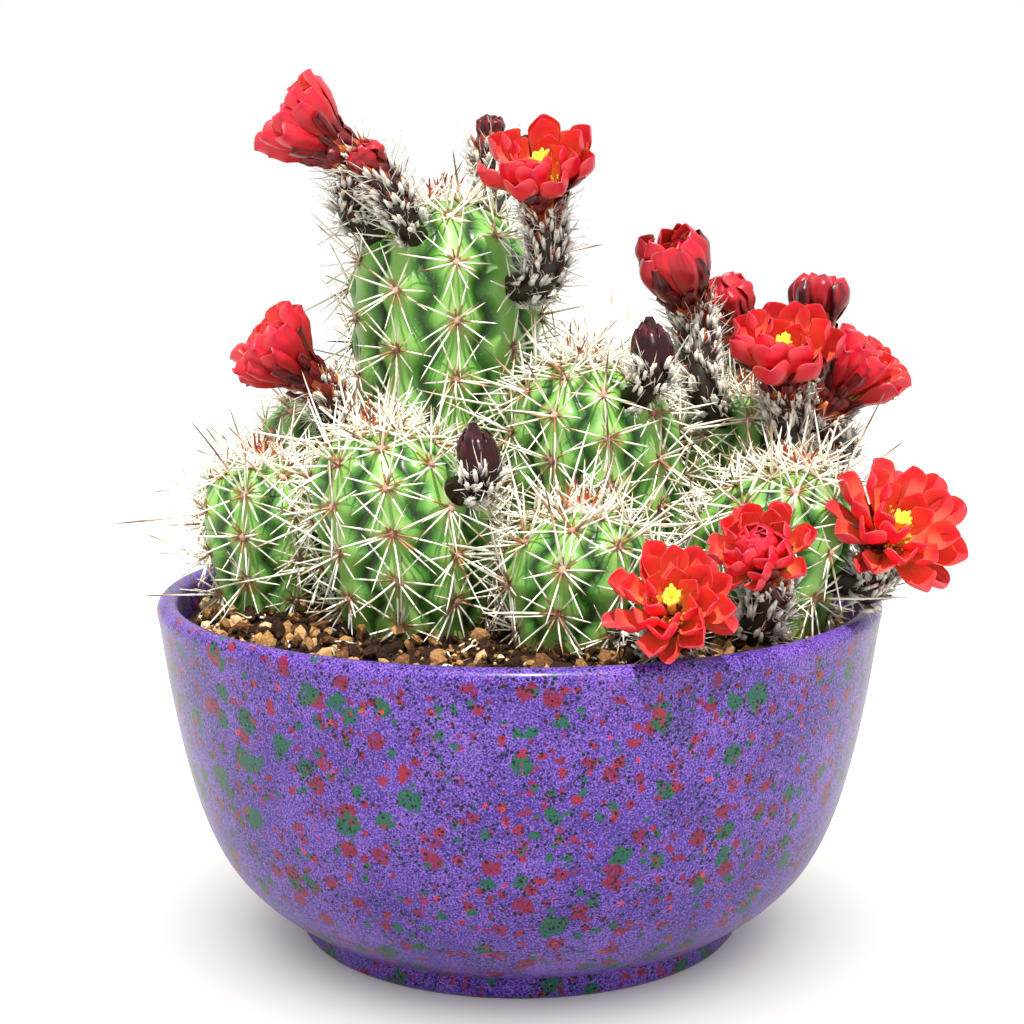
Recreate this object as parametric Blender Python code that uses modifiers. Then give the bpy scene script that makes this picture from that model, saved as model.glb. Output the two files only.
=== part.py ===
# Potted hedgehog cactus: a clump of ribbed, spiny stems in bloom, rooted in gritty soil in a glazed bowl.
# Metres, +Z up. Places are worked out from the bowl's axis, and the whole plant and bowl are then moved so
# that the origin is the middle of their footprint, on the surface that the foot ring rests on.
import math
import random

import bmesh
import bpy
from mathutils import Matrix, Vector
from mathutils.geometry import intersect_line_line

GAP = 0.0003  # between pieces that rest on each other

# Bowl, from its rim diameter of 205 mm
RIM_RADIUS = 0.1025
BOWL_HEIGHT = 0.098
WALL = 0.006
FOOT_RADIUS = 0.0635
FOOT_HEIGHT = 0.0066
FOOT_WIDTH = 0.011
FOOT_RECESS = 0.003
FLOOR_HEIGHT = 0.0105
FLOOR_RADIUS = 0.055
DRAIN_RADIUS = 0.006
BOWL_SIDES = 36
# Outside of the bowl as (radius, height), from under the lip down to the foot
BOWL_CURVE = [
    (0.1015, 0.0890), (0.0993, 0.0735), (0.0957, 0.0545), (0.0910, 0.0375),
    (0.0850, 0.0245), (0.0772, 0.0152), (0.0674, 0.0076),
]

# Soil
SOIL_TOP = 0.0895
SOIL_SIDES = 30
SOIL_RINGS = [0.030, 0.056, 0.074, 0.086]
SOIL_RELIEF = 0.0011
GRAIN_COUNT = 22
GRAIN_SIZE = 0.0050

# Stems
ROOT_DEPTH = 0.018  # how far a stem's foot stands in the soil
NECK_HEIGHT = 0.0035  # the foot stays straight to here above the soil
FOOT_SHARE = 0.82  # the foot's radius as a share of the stem's
SWELL_HEIGHT = 0.020
DOME_SHARE = 0.95  # height of the rounded top as a share of the radius
FURROW_DEPTH = 0.17  # as a share of the radius
FURROW_START = 0.010  # height over which the furrows deepen
TOP_FURROW = 0.35  # what is left of their depth next to the apex
TWIST = math.radians(12)
HOLE_CLEARANCE = 0.0004
HOLE_SIDES = 12
# Foot centre, apex, crest radius and rib count of each stem
STEMS = {
    "tall": ((-0.020, 0.033), (-0.0235, 0.030, 0.2080), 0.0280, 10),
    "front_left": ((-0.028, -0.031), (-0.0380, -0.036, 0.1480), 0.0235, 9),
    "far_left": ((-0.069, -0.004), (-0.0730, -0.008, 0.1360), 0.0190, 8),
    "back_left": ((-0.064, 0.040), (-0.0620, 0.039, 0.1500), 0.0160, 7),
    "centre": ((0.023, 0.000), (0.0180, -0.003, 0.1635), 0.0250, 10),
    "front_centre": ((0.0155, -0.048), (0.0160, -0.055, 0.1290), 0.0208, 8),
    "right": ((0.064, 0.026), (0.0670, 0.022, 0.1530), 0.0220, 9),
    "front_right": ((0.065, -0.029), (0.0740, -0.032, 0.1370), 0.0220, 9),
    "back_right": ((0.028, 0.057), (0.0350, 0.058, 0.1460), 0.0220, 8),
    "back_small": ((-0.029, 0.074), (-0.0300, 0.076, 0.1200), 0.0120, 6),
}

# Areoles, the cushions that the spines grow from, and their spines
AREOLE_STEP = 0.017
SPINE_RADIUS = 0.00055
SPINE_SUNK = 0.0016
SPINE_LENGTHS = (0.016, 0.024)
CROWN_LENGTHS = (0.018, 0.030)
CROWN_SPINES = 7
CROWN_RING = 0.0035  # radius of the ring round the apex that the crown spines grow from
SPINE_TRIES = 9
SPINE_CLEARANCE = 0.0014

# Blooms: a scaly tube, petals in two whorls and a lobed stigma
STUB_LENGTH = 0.0035
TUBE_BASE_RADIUS = 0.0042
TUBE_MOUTH_RADIUS = 0.0054
SCALE_COUNT = 6
SCALE_SPAN = (0.26, 0.70)  # where the scales start and end, as shares of the tube's length
GOLDEN_ANGLE = math.radians(137.5)  # from each scale to the next round the tube
SCALE_RADIUS = 0.0013
SCALE_LENGTH = 0.0075
SCALE_REACH = 0.0045  # how far a scale stands out from its tube
TUBE_REACH = TUBE_MOUTH_RADIUS + SCALE_REACH
CUP_HEIGHT = 0.0040
CUP_RADIUS = 0.0062
CLAW_RADII = (0.0029, 0.0021)  # of the rings that the outer and the inner whorl grow from
PETAL_THICKNESS = 0.0011
PETAL_CUP = 0.22
# Opening angles of a whorl from the bloom's axis, at the petals' claws and at their tips
WIDE = (44, 86)
HALF = (26, 62)
FUNNEL = (28, 36)
CUP = (44, 8)
BELL = (34, -12)
INNER = (14, 14)
SHUT = (22, -22)
# Stem, azimuth and height of the root, throat, facing azimuth and elevation, then petal length and width,
# outer and inner whorl, whether the stigma shows
BLOOMS = {
    "tall_left": (
        "tall", -152, 0.1980, (-0.0500, 0.0080, 0.2210), (188, 33),
        0.0210, 0.0105, (6, FUNNEL), (3, INNER), True,
    ),
    "tall_right": (
        "tall", -42, 0.1830, (0.0065, 0.0010, 0.2090), (-97, 50),
        0.0200, 0.0115, (6, CUP), (3, INNER), True,
    ),
    "left": (
        "back_left", -65, 0.1400, (-0.0605, 0.0120, 0.1565), (196, 40),
        0.0210, 0.0105, (6, FUNNEL), (3, INNER), True,
    ),
    "right_high": (
        "right", -125, 0.1460, (0.0480, 0.0100, 0.1800), (-125, 56),
        0.0220, 0.0110, (5, BELL), (3, SHUT), False,
    ),
    "right_faded": (
        "right", 90, 0.1510, (0.0650, 0.0260, 0.1700), (170, 74),
        0.0140, 0.0070, (5, BELL), (2, SHUT), False,
    ),
    "right_cup": (
        "right", -70, 0.1380, (0.0735, -0.0080, 0.1580), (-102, 60),
        0.0200, 0.0120, (6, CUP), (3, INNER), True,
    ),
    "right_back": (
        "right", 15, 0.1420, (0.0880, 0.0310, 0.1710), (20, 82),
        0.0160, 0.0080, (5, BELL), (2, SHUT), False,
    ),
    "right_side": (
        "right", -30, 0.1340, (0.0890, 0.0010, 0.1510), (-20, 50),
        0.0200, 0.0105, (6, FUNNEL), (3, INNER), True,
    ),
    "front_crowded": (
        "front_right", -100, 0.0990, (0.0625, -0.0635, 0.1160), (-118, 46),
        0.0160, 0.0095, (6, FUNNEL), (3, INNER), True,
    ),
    "front_open": (
        "front_centre", -48, 0.0985, (0.0368, -0.0870, 0.1080), (-97, 35),
        0.0152, 0.0095, (7, WIDE), (5, HALF), True,
    ),
    "rim_open": (
        "front_right", -22, 0.1070, (0.0955, -0.0450, 0.1182), (-74, 40),
        0.0190, 0.0110, (7, WIDE), (5, HALF), True,
    ),
}
# Stem, azimuth and height of the root, axis azimuth and elevation, length and belly radius
BUDS = {
    "front_left": ("front_left", -40, 0.1325, (120, 82), 0.0195, 0.0050),
    "centre": ("centre", -52, 0.1540, (100, 84), 0.0215, 0.0052),
    "tall_back": ("tall", 45, 0.2030, (120, 84), 0.0260, 0.0058),
    "tall_withered": ("tall", -110, 0.1980, (-152, 56), 0.0260, 0.0042),
}

BLOOM_SEED = 19  # of their own, so that the blooms stay as they are when a spine changes
random.seed(17)


# Scene and materials

def clear_scene():
    for obj in list(bpy.data.objects):
        bpy.data.objects.remove(obj, do_unlink=True)


def new_collection(name, hidden=False):
    collection = bpy.data.collections.new(name)
    collection.hide_render = hidden
    bpy.context.scene.collection.children.link(collection)
    return collection


def new_material(name, colour, roughness):
    material = bpy.data.materials.new(name)
    material.use_nodes = True
    shader = material.node_tree.nodes["Principled BSDF"]
    shader.inputs["Base Color"].default_value = (*colour, 1.0)
    shader.inputs["Roughness"].default_value = roughness
    shader.inputs["Metallic"].default_value = 0.0
    material.diffuse_color = (*colour, 1.0)
    return material


def object_from(bm, name, collection, material=None):
    bmesh.ops.recalc_face_normals(bm, faces=bm.faces)
    if bm.calc_volume(signed=True) < 0:
        bmesh.ops.reverse_faces(bm, faces=bm.faces)
    mesh = bpy.data.meshes.new(name)
    bm.to_mesh(mesh)
    bm.free()
    obj = bpy.data.objects.new(name, mesh)
    collection.objects.link(obj)
    if material:
        mesh.materials.append(material)
    return obj


def evaluated_mesh(obj):
    bpy.context.view_layer.update()
    return bpy.data.meshes.new_from_object(obj.evaluated_get(bpy.context.evaluated_depsgraph_get()))


def shell_area(verts):
    return sum(face.calc_area() for face in {face for vert in verts for face in vert.link_faces})


def keep_main_shell(mesh):
    # Fills hollows that fusing has sealed and drops loose scraps: both are shells apart from the main one.
    bm = bmesh.new()
    bm.from_mesh(mesh)
    left, shells = set(bm.verts), []
    while left:
        shell, edge = set(), [left.pop()]
        while edge:
            vert = edge.pop()
            shell.add(vert)
            for link in vert.link_edges:
                other = link.other_vert(vert)
                if other in left:
                    left.remove(other)
                    edge.append(other)
        shells.append(shell)
    main_shell = max(shells, key=shell_area)
    bmesh.ops.delete(bm, geom=[vert for vert in bm.verts if vert not in main_shell], context="VERTS")
    bm.to_mesh(mesh)
    bm.free()
    return mesh


def fuse(core, pieces, operation="UNION"):
    # Joins the pieces to the core, or cuts them from it, and removes them.
    helpers = new_collection(core.name + "_pieces", hidden=True)
    for piece in pieces:
        for owner in piece.users_collection:
            owner.objects.unlink(piece)
        helpers.objects.link(piece)
        piece.display_type = "WIRE"
    boolean = core.modifiers.new("Fuse", "BOOLEAN")
    boolean.operation = operation
    boolean.operand_type = "COLLECTION"
    boolean.collection = helpers
    boolean.solver = "EXACT"
    old = core.data
    core.data = keep_main_shell(evaluated_mesh(core))
    core.modifiers.clear()
    bpy.data.meshes.remove(old)
    for piece in list(helpers.objects):
        bpy.data.objects.remove(piece, do_unlink=True)
    bpy.data.collections.remove(helpers)
    return core


def turned(name, profile, sides, collection, material, closed):
    # (radius, height) points turned about Z. A closed profile makes a ring, an open one ends on the axis.
    mesh = bpy.data.meshes.new(name)
    count = len(profile)
    edges = [(i, i + 1) for i in range(count - 1)] + ([(count - 1, 0)] if closed else [])
    mesh.from_pydata([(radius, 0.0, height) for radius, height in profile], edges, [])
    mesh.materials.append(material)
    obj = bpy.data.objects.new(name, mesh)
    collection.objects.link(obj)
    screw = obj.modifiers.new("Turn", "SCREW")
    screw.steps = screw.render_steps = sides
    screw.use_merge_vertices = True
    screw.merge_threshold = 0.00001
    obj.data = evaluated_mesh(obj)
    obj.modifiers.clear()
    bpy.data.meshes.remove(mesh)
    return obj


# Shared shapes

def direction(azimuth, elevation):
    a, e = math.radians(azimuth), math.radians(elevation)
    return Vector((math.cos(a) * math.cos(e), math.sin(a) * math.cos(e), math.sin(e)))


def smooth_step(x):
    x = min(1.0, max(0.0, x))
    return x * x * (3 - 2 * x)


def facing(axis, origin):
    # A matrix that stands a shape's +Z along the axis.
    return Matrix.Translation(origin) @ axis.to_track_quat("Z", "Y").to_matrix().to_4x4()


def needle(name, root, axis, length, radius, collection, sunk):
    # A three-sided spine. Its root is sunk into what it grows from.
    bm = bmesh.new()
    bmesh.ops.create_cone(
        bm, cap_ends=True, segments=3, radius1=radius, radius2=0.0, depth=length + sunk,
        matrix=facing(axis, root + axis * (length - sunk) / 2),
    )
    bmesh.ops.remove_doubles(bm, verts=bm.verts, dist=1e-6)
    return object_from(bm, name, collection)


def shaped_sphere(sides, levels, place):
    # A sphere whose points go where place(level, angle) says, level 0 being the foot and levels the tip.
    bm = bmesh.new()
    bmesh.ops.create_uvsphere(bm, u_segments=sides, v_segments=levels, radius=1.0)
    for vert in bm.verts:
        level = round((1 - math.acos(max(-1.0, min(1.0, vert.co.z))) / math.pi) * levels)
        vert.co = place(level, math.atan2(vert.co.y, vert.co.x))
    return bm


def point_distance(point, start, end):
    along = end - start
    share = (point - start).dot(along) / along.length_squared
    return (point - start - along * min(1.0, max(0.0, share))).length


def segment_distance(start, end, other_start, other_end):
    # Least distance between two straight stretches
    nearest = intersect_line_line(start, end, other_start, other_end)
    if nearest:
        along, other_along = end - start, other_end - other_start
        share = (nearest[0] - start).dot(along) / along.length_squared
        other = (nearest[1] - other_start).dot(other_along) / other_along.length_squared
        if 0 <= share <= 1 and 0 <= other <= 1:
            return (nearest[0] - nearest[1]).length
    return min(
        point_distance(start, other_start, other_end), point_distance(end, other_start, other_end),
        point_distance(other_start, start, end), point_distance(other_end, start, end),
    )


# Bowl and soil

def bowl_profile():
    lip = [(RIM_RADIUS, BOWL_HEIGHT - 0.0030), (RIM_RADIUS - WALL / 2, BOWL_HEIGHT)]
    foot = [(FOOT_RADIUS, FOOT_HEIGHT), (FOOT_RADIUS - 0.0005, 0.0)]
    underside = [(FOOT_RADIUS - FOOT_WIDTH, 0.0), (FOOT_RADIUS - FOOT_WIDTH - 0.0015, FOOT_RECESS)]
    drain = [(DRAIN_RADIUS, FOOT_RECESS), (DRAIN_RADIUS, FLOOR_HEIGHT)]
    inside = [(FLOOR_RADIUS, FLOOR_HEIGHT)] + inner_wall()[::-1] + [(RIM_RADIUS - WALL, BOWL_HEIGHT - 0.0022)]
    return lip[::-1][:1] + lip[:1] + BOWL_CURVE + foot + underside + drain + inside


def inner_wall():
    # Every second point of the outside, moved in by the wall's thickness
    return [(radius - WALL - 0.0004, height + 0.0015) for radius, height in BOWL_CURVE[1::2]]


def build_bowl(collection, material):
    return turned("bowl", bowl_profile(), BOWL_SIDES, collection, material, closed=True)


def stem_holes(collection):
    holes = []
    for name, (foot, apex, radius, ribs) in STEMS.items():
        hole_radius = (radius * FOOT_SHARE + HOLE_CLEARANCE) / math.cos(math.pi / HOLE_SIDES)
        bm = bmesh.new()
        bmesh.ops.create_cone(
            bm, cap_ends=True, segments=HOLE_SIDES, radius1=hole_radius, radius2=hole_radius,
            depth=2 * ROOT_DEPTH, matrix=Matrix.Translation((foot[0], foot[1], SOIL_TOP - GAP)),
        )
        holes.append(object_from(bm, "hole_" + name, collection))
    return holes


def free_soil(place, margin):
    return all(
        math.dist(place, foot) > radius * FOOT_SHARE + margin for foot, apex, radius, ribs in STEMS.values()
    )


def soil_grains(collection):
    # Angular grit, half sunk, on the soil that the stems leave free
    grains = []
    reach = RIM_RADIUS - WALL - GRAIN_SIZE * 1.05
    while len(grains) < GRAIN_COUNT:
        angle, distance = random.uniform(0, math.tau), reach * math.sqrt(random.uniform(0.12, 1.0))
        place = (distance * math.cos(angle), distance * math.sin(angle))
        if not free_soil(place, GRAIN_SIZE * 0.9):
            continue
        size = GRAIN_SIZE * random.uniform(0.6, 1.0)
        turn = Matrix.Rotation(random.uniform(0, math.tau), 4, "Z")
        turn @= Matrix.Rotation(random.uniform(-0.5, 0.5), 4, "X")
        bm = bmesh.new()
        bmesh.ops.create_cube(bm, size=size)
        for vert in bm.verts:
            vert.co *= random.uniform(0.75, 1.1)
            vert.co.z *= 0.75
        bm.transform(Matrix.Translation((*place, SOIL_TOP + size * 0.12)) @ turn)
        grains.append(object_from(bm, f"grain_{len(grains)}", collection))
    return grains


def build_soil(collection, material):
    side = [(radius - 0.0006, height) for radius, height in inner_wall()]
    rim = [(RIM_RADIUS - WALL - 0.0018, SOIL_TOP)]
    floor = [(FLOOR_RADIUS - 0.001, FLOOR_HEIGHT + GAP), (0.0, FLOOR_HEIGHT + GAP)]
    top = [(0.0, SOIL_TOP)] + [(radius, SOIL_TOP) for radius in SOIL_RINGS]
    soil = turned("soil", top + rim + side + floor, SOIL_SIDES, collection, material, closed=False)
    for vert in soil.data.vertices:
        if vert.co.z > SOIL_TOP - GAP and vert.co.xy.length < RIM_RADIUS - WALL - 0.005:
            vert.co.z += random.uniform(-SOIL_RELIEF, SOIL_RELIEF)
    fuse(soil, soil_grains(collection))
    return fuse(soil, stem_holes(collection), "DIFFERENCE")


# Stems

def stem_axis(name, height):
    # The stem's middle at a height above the soil. Its foot stands upright, and it leans higher up.
    foot, apex, radius, ribs = STEMS[name]
    lean = smooth_step(0.5 * max(0.0, height - NECK_HEIGHT) / (apex[2] - SOIL_TOP)) * 2
    x, y = (start + (end - start) * lean for start, end in zip(foot, apex))
    return Vector((x, y, SOIL_TOP + height))


def stem_radius(name, height):
    foot, apex, radius, ribs = STEMS[name]
    swell = FOOT_SHARE + (1 - FOOT_SHARE) * smooth_step((height - NECK_HEIGHT) / SWELL_HEIGHT)
    dome = radius * DOME_SHARE
    rise = min(1.0, max(0.0, (height - (apex[2] - SOIL_TOP - dome)) / dome))
    return radius * swell * math.sqrt(1 - rise * rise)


def rib_angle(name, rib, height):
    foot, apex, radius, ribs = STEMS[name]
    return (rib + 0.5) * math.tau / ribs + TWIST * height / (apex[2] - SOIL_TOP)


def stem_surface(name, angle, height):
    return stem_axis(name, height) + Vector((math.cos(angle), math.sin(angle), 0)) * stem_radius(name, height)


def surface_normal(name, angle, height):
    step = 0.001
    slope = (stem_radius(name, height + step) - stem_radius(name, height - step)) / (2 * step)
    return Vector((math.cos(angle), math.sin(angle), -slope)).normalized()


def stem_levels(name):
    # Heights of the rings from the foot's underside to just below the apex
    foot, apex, radius, ribs = STEMS[name]
    dome = radius * DOME_SHARE
    straight = apex[2] - SOIL_TOP - dome
    count = max(1, round(straight / 0.020))
    body = [NECK_HEIGHT + (straight - NECK_HEIGHT) * (i + 1) / count for i in range(count)]
    return [-ROOT_DEPTH, NECK_HEIGHT] + body + [straight + dome * share for share in (0.52, 0.86)]


def stem_body(name, collection, material):
    foot, apex, radius, ribs = STEMS[name]
    heights = stem_levels(name)
    total = apex[2] - SOIL_TOP

    def place(level, angle):
        if level == 0:
            return stem_axis(name, -ROOT_DEPTH)
        if level > len(heights):
            return Vector(apex)
        height = heights[level - 1]
        furrow = 0.5 + 0.5 * math.cos(angle * ribs)
        depth = FURROW_DEPTH * smooth_step((height - NECK_HEIGHT) / FURROW_START)
        depth *= TOP_FURROW if level == len(heights) else 1
        turned_angle = angle + TWIST * max(0.0, height) / total
        out = Vector((math.cos(turned_angle), math.sin(turned_angle), 0))
        return stem_axis(name, height) + out * stem_radius(name, height) * (1 - depth * furrow)

    bm = shaped_sphere(3 * ribs, len(heights) + 1, place)
    return object_from(bm, "stem_" + name, collection, material)


def root_of(name, azimuth, height):
    # The point on a stem's crest where a bloom or a bud grows, and the way out from it
    angle = math.radians(azimuth)
    return stem_surface(name, angle, height - SOIL_TOP), surface_normal(name, angle, height - SOIL_TOP)


def stub(name, root, normal, radius, collection):
    # The short boss that a tube or a bud stands on
    depth = STUB_LENGTH + 0.007
    bm = bmesh.new()
    bmesh.ops.create_cone(
        bm, cap_ends=True, segments=8, radius1=radius * 1.25, radius2=radius, depth=depth,
        matrix=facing(normal, root + normal * (STUB_LENGTH - depth / 2)),
    )
    return object_from(bm, name, collection)


# Spines

def bud_line(bud):
    # A bud's root, the way out from it, the foot of the bud itself and its tip
    stem, azimuth, height, aim, length, belly = bud
    root, normal = root_of(stem, azimuth, height)
    start = root + normal * (STUB_LENGTH + GAP)
    return root, normal, start, start + (normal * 0.18 + direction(*aim) * 0.82) * length


def bloom_volumes():
    # Lines with a radius that the spines keep clear of: each bloom's tube and petals, and each bud
    volumes = []
    for stem, azimuth, height, throat, aim, petal, width, outer, inner, shows in BLOOMS.values():
        root, normal = root_of(stem, azimuth, height)
        axis, mouth = direction(*aim), Vector(throat)
        knee = root + normal * STUB_LENGTH * 2
        volumes.append((root, knee, TUBE_REACH))
        volumes.append((knee, mouth, TUBE_REACH))
        claw, tip = outer[1]
        lean = math.radians(max(claw, tip) * 0.62)
        reach = TUBE_MOUTH_RADIUS + petal * math.sin(lean)
        depth = petal * max(0.35, math.cos(lean))
        volumes.append((mouth + axis * 0.003, mouth + axis * depth, reach + 0.001))
    for bud in BUDS.values():
        root, normal, start, tip = bud_line(bud)
        volumes.append((root, start, TUBE_REACH))
        volumes.append((start, tip, bud[-1] + SCALE_REACH))
    return volumes


def clear_of_stems(name, point):
    for other in STEMS:
        height = point.z - SOIL_TOP
        if height > STEMS[other][1][2] - SOIL_TOP + 0.0015:
            continue
        middle = stem_axis(other, height)
        margin = 0.0002 if other == name else 0.0018
        if (point - middle).xy.length < stem_radius(other, height) + margin:
            return False
    return True


def spine_fits(name, root, tip, placed, volumes):
    samples = [root.lerp(tip, share / 8) for share in range(2, 9)]
    for point in samples:
        across = point.xy.length
        if point.z < SOIL_TOP + 0.0042:
            return False
        if point.z < BOWL_HEIGHT + 0.002 and RIM_RADIUS - WALL - 0.003 < across < RIM_RADIUS + 0.002:
            return False
        if not clear_of_stems(name, point):
            return False
    for start, end, radius in volumes:
        if segment_distance(root, tip, start, end) < radius:
            return False
    for start, end in placed:
        if (start - root).length > 0.065 or (start - root).length < 1e-5:
            continue
        if segment_distance(samples[0], tip, start, end) < SPINE_CLEARANCE:
            return False
    return True


def leaning(normal, tilt, turn):
    side = normal.orthogonal().normalized()
    across = side * math.cos(turn) + normal.cross(side) * math.sin(turn)
    return (normal * math.cos(tilt) + across * math.sin(tilt)).normalized()


def areoles(name):
    # Root points up each rib, those of every second rib half a step higher
    foot, apex, radius, ribs = STEMS[name]
    top = apex[2] - SOIL_TOP - 0.0035
    for rib in range(ribs):
        height = 0.008 + (AREOLE_STEP / 2 if rib % 2 else 0)
        while height < top:
            angle = rib_angle(name, rib, height)
            yield stem_surface(name, angle, height), surface_normal(name, angle, height)
            height += AREOLE_STEP


def crown(name):
    # Root points round the apex, where the newest and longest spines stand
    for i in range(CROWN_SPINES):
        out = direction(360 * i / CROWN_SPINES + random.uniform(-15, 15), 0)
        root = Vector(STEMS[name][1]) + out * CROWN_RING - Vector((0, 0, GAP * 2))
        yield root, (out * 0.25 + Vector((0, 0, 1))).normalized()


def grow_spine(name, root, normal, tilts, lengths, placed, volumes, collection):
    # Tries a few ways out of the areole, each a little shorter, until one is clear of all that stands near
    for attempt in range(SPINE_TRIES):
        axis = leaning(normal, math.radians(random.uniform(*tilts)), random.uniform(0, math.tau))
        length = random.uniform(*lengths) * (1 - 0.05 * attempt)
        if spine_fits(name, root, root + axis * length, placed, volumes):
            placed.append((root, root + axis * length))
            return [needle(f"spine_{len(placed)}", root, axis, length, SPINE_RADIUS, collection, SPINE_SUNK)]
    return []


def stem_spines(name, placed, volumes, collection):
    spines = []
    for root, normal in crown(name):
        spines += grow_spine(name, root, normal, (5, 45), CROWN_LENGTHS, placed, volumes, collection)
    for root, normal in areoles(name):
        spines += grow_spine(name, root, normal, (28, 66), SPINE_LENGTHS, placed, volumes, collection)
    return spines


def build_stems(collection, material):
    placed, volumes = [], bloom_volumes()
    for name in STEMS:
        body = stem_body(name, collection, material)
        pieces = stem_spines(name, placed, volumes, collection)
        roots = [(bloom[:3], TUBE_BASE_RADIUS) for bloom in BLOOMS.values()]
        roots += [(bud[:3], TUBE_BASE_RADIUS) for bud in BUDS.values()]
        for (stem, azimuth, height), radius in roots:
            if stem == name:
                root, normal = root_of(stem, azimuth, height)
                pieces.append(stub(f"stub_{len(pieces)}", root, normal, radius, collection))
        fuse(body, pieces)
    print(len(placed), "spines")


# Blooms and buds

def tube_path(start, normal, throat, axis):
    # A smooth way from the boss to the throat, straight at both ends so that its ends lie square
    straight = TUBE_BASE_RADIUS / 2
    first, last = start + normal * straight, throat - axis * straight
    pull = (last - first).length * 0.42
    a, b = first + normal * pull, last - axis * pull
    middle = [
        first * (1 - t) ** 3 + a * 3 * t * (1 - t) ** 2 + b * 3 * t * t * (1 - t) + last * t ** 3
        for t in (0.0, 0.35, 0.7, 1.0)
    ]
    return [start] + middle + [throat]


def curve_tube(name, path, radii, collection, material):
    curve = bpy.data.curves.new(name, "CURVE")
    curve.dimensions = "3D"
    curve.bevel_depth = 1.0
    curve.bevel_resolution = 1
    curve.use_fill_caps = True
    spline = curve.splines.new("POLY")
    spline.points.add(len(path) - 1)
    for point, place, radius in zip(spline.points, path, radii):
        point.co = (*place, 1.0)
        point.radius = radius
    guide = bpy.data.objects.new(name + "_guide", curve)
    collection.objects.link(guide)
    mesh = evaluated_mesh(guide)
    bpy.data.objects.remove(guide, do_unlink=True)
    bm = bmesh.new()
    bm.from_mesh(mesh)
    bpy.data.meshes.remove(mesh)
    bmesh.ops.remove_doubles(bm, verts=bm.verts, dist=1e-6)
    return object_from(bm, name, collection, material)


def tube_scales(path, radii, collection):
    # Pointed scales up the tube in a spiral, leaning out, where no stem is in their way
    scales, first_turn = [], random.uniform(0, math.tau)
    for i in range(SCALE_COUNT):
        share = SCALE_SPAN[0] + (SCALE_SPAN[1] - SCALE_SPAN[0]) * i / (SCALE_COUNT - 1)
        place = share * (len(path) - 1)
        low = int(place)
        axis = (path[low + 1] - path[low]).normalized()
        middle = path[low].lerp(path[low + 1], place - low)
        radius = radii[low] + (radii[low + 1] - radii[low]) * (place - low)
        out = leaning(axis, math.pi / 2, first_turn + i * GOLDEN_ANGLE)
        lean = (axis + out * 0.62).normalized()
        root = middle + out * radius * 0.82
        end = path[-1] - path[-2]
        room = (path[-1] - root).dot(end.normalized()) / max(0.3, lean.dot(end.normalized())) - 0.002
        length = min(SCALE_LENGTH, room)
        clear = all(clear_of_stems("", root + lean * length * part) for part in (0.15, 0.6, 1.0))
        if clear and length > SCALE_LENGTH / 2:
            scales.append(needle(f"scale_{i}", root, lean, length, SCALE_RADIUS, collection, SPINE_SUNK / 2))
    return scales


def build_tube(name, bloom, collection, material):
    stem, azimuth, height, throat, aim = bloom[:5]
    root, normal = root_of(stem, azimuth, height)
    path = tube_path(root + normal * (STUB_LENGTH + GAP), normal, Vector(throat), direction(*aim))
    ends = (TUBE_BASE_RADIUS, TUBE_MOUTH_RADIUS)
    radii = [ends[0] + (ends[1] - ends[0]) * i / (len(path) - 1) for i in range(len(path))]
    tube = curve_tube(f"tube_{name}", path, radii, collection, material)
    return fuse(tube, tube_scales(path, radii, collection))


def petal_width(share):
    return share ** 0.75 * math.sqrt(max(0.0, 1 - share ** 8)) / 0.80


def petal(name, claw_place, axis, turn, angles, length, width, levels, collection):
    # A cupped blade that leaves its claw at the first angle from the axis and ends at the second
    claw, tip = (math.radians(angle) for angle in angles)
    out = leaning(axis, math.pi / 2, turn)
    across = axis.cross(out)
    shares = [0.0] + ([0.26, 0.55, 0.82, 0.96] if levels == 5 else [0.40, 0.76, 0.96]) + [1.0]

    def place(level, angle):
        share = shares[level]
        bend = claw + (tip - claw) * share
        if abs(tip - claw) > 1e-3:
            radial = (math.cos(claw) - math.cos(bend)) / (tip - claw)
            axial = (math.sin(bend) - math.sin(claw)) / (tip - claw)
        else:
            radial, axial = share * math.sin(claw), share * math.cos(claw)
        inward = axis * math.sin(bend) - out * math.cos(bend)
        half = petal_width(share) * width / 2 if 0 < level < levels else 0.0
        side = math.cos(angle) * half
        thick = math.sin(angle) * PETAL_THICKNESS / 2 if 0 < level < levels else 0.0
        middle = claw_place + out * radial * length + axis * axial * length
        return middle + across * side + inward * (abs(side) * PETAL_CUP * 2 * share + thick)

    return object_from(shaped_sphere(4, levels, place), name, collection)


def build_petals(name, bloom, collection, material):
    stem, azimuth, height, throat, aim, length, width, outer, inner, shows = bloom
    axis = direction(*aim)
    base = Vector(throat) + axis * GAP
    bm = bmesh.new()
    bmesh.ops.create_cone(
        bm, cap_ends=True, segments=8, radius1=TUBE_MOUTH_RADIUS * 0.95, radius2=CUP_RADIUS,
        depth=CUP_HEIGHT, matrix=facing(axis, base + axis * CUP_HEIGHT / 2),
    )
    cup = object_from(bm, f"petals_{name}", collection, material)
    blades = []
    for whorl, (count, angles) in enumerate((outer, inner)):
        size = 1.0 if whorl == 0 else 0.84
        for i in range(count):
            turn = (i + 0.5 * whorl) * math.tau / count + random.uniform(-0.12, 0.12)
            lean = random.uniform(-4, 4)
            out = leaning(axis, math.pi / 2, turn) * CLAW_RADII[whorl]
            blades.append(petal(
                f"petal_{len(blades)}", base + axis * CUP_HEIGHT * 0.45 + out, axis, turn,
                [angle + lean for angle in angles], length * size * random.uniform(0.94, 1.0),
                width * size ** 2, 5 if angles == WIDE else 4, collection,
            ))
    return fuse(cup, blades)


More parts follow.
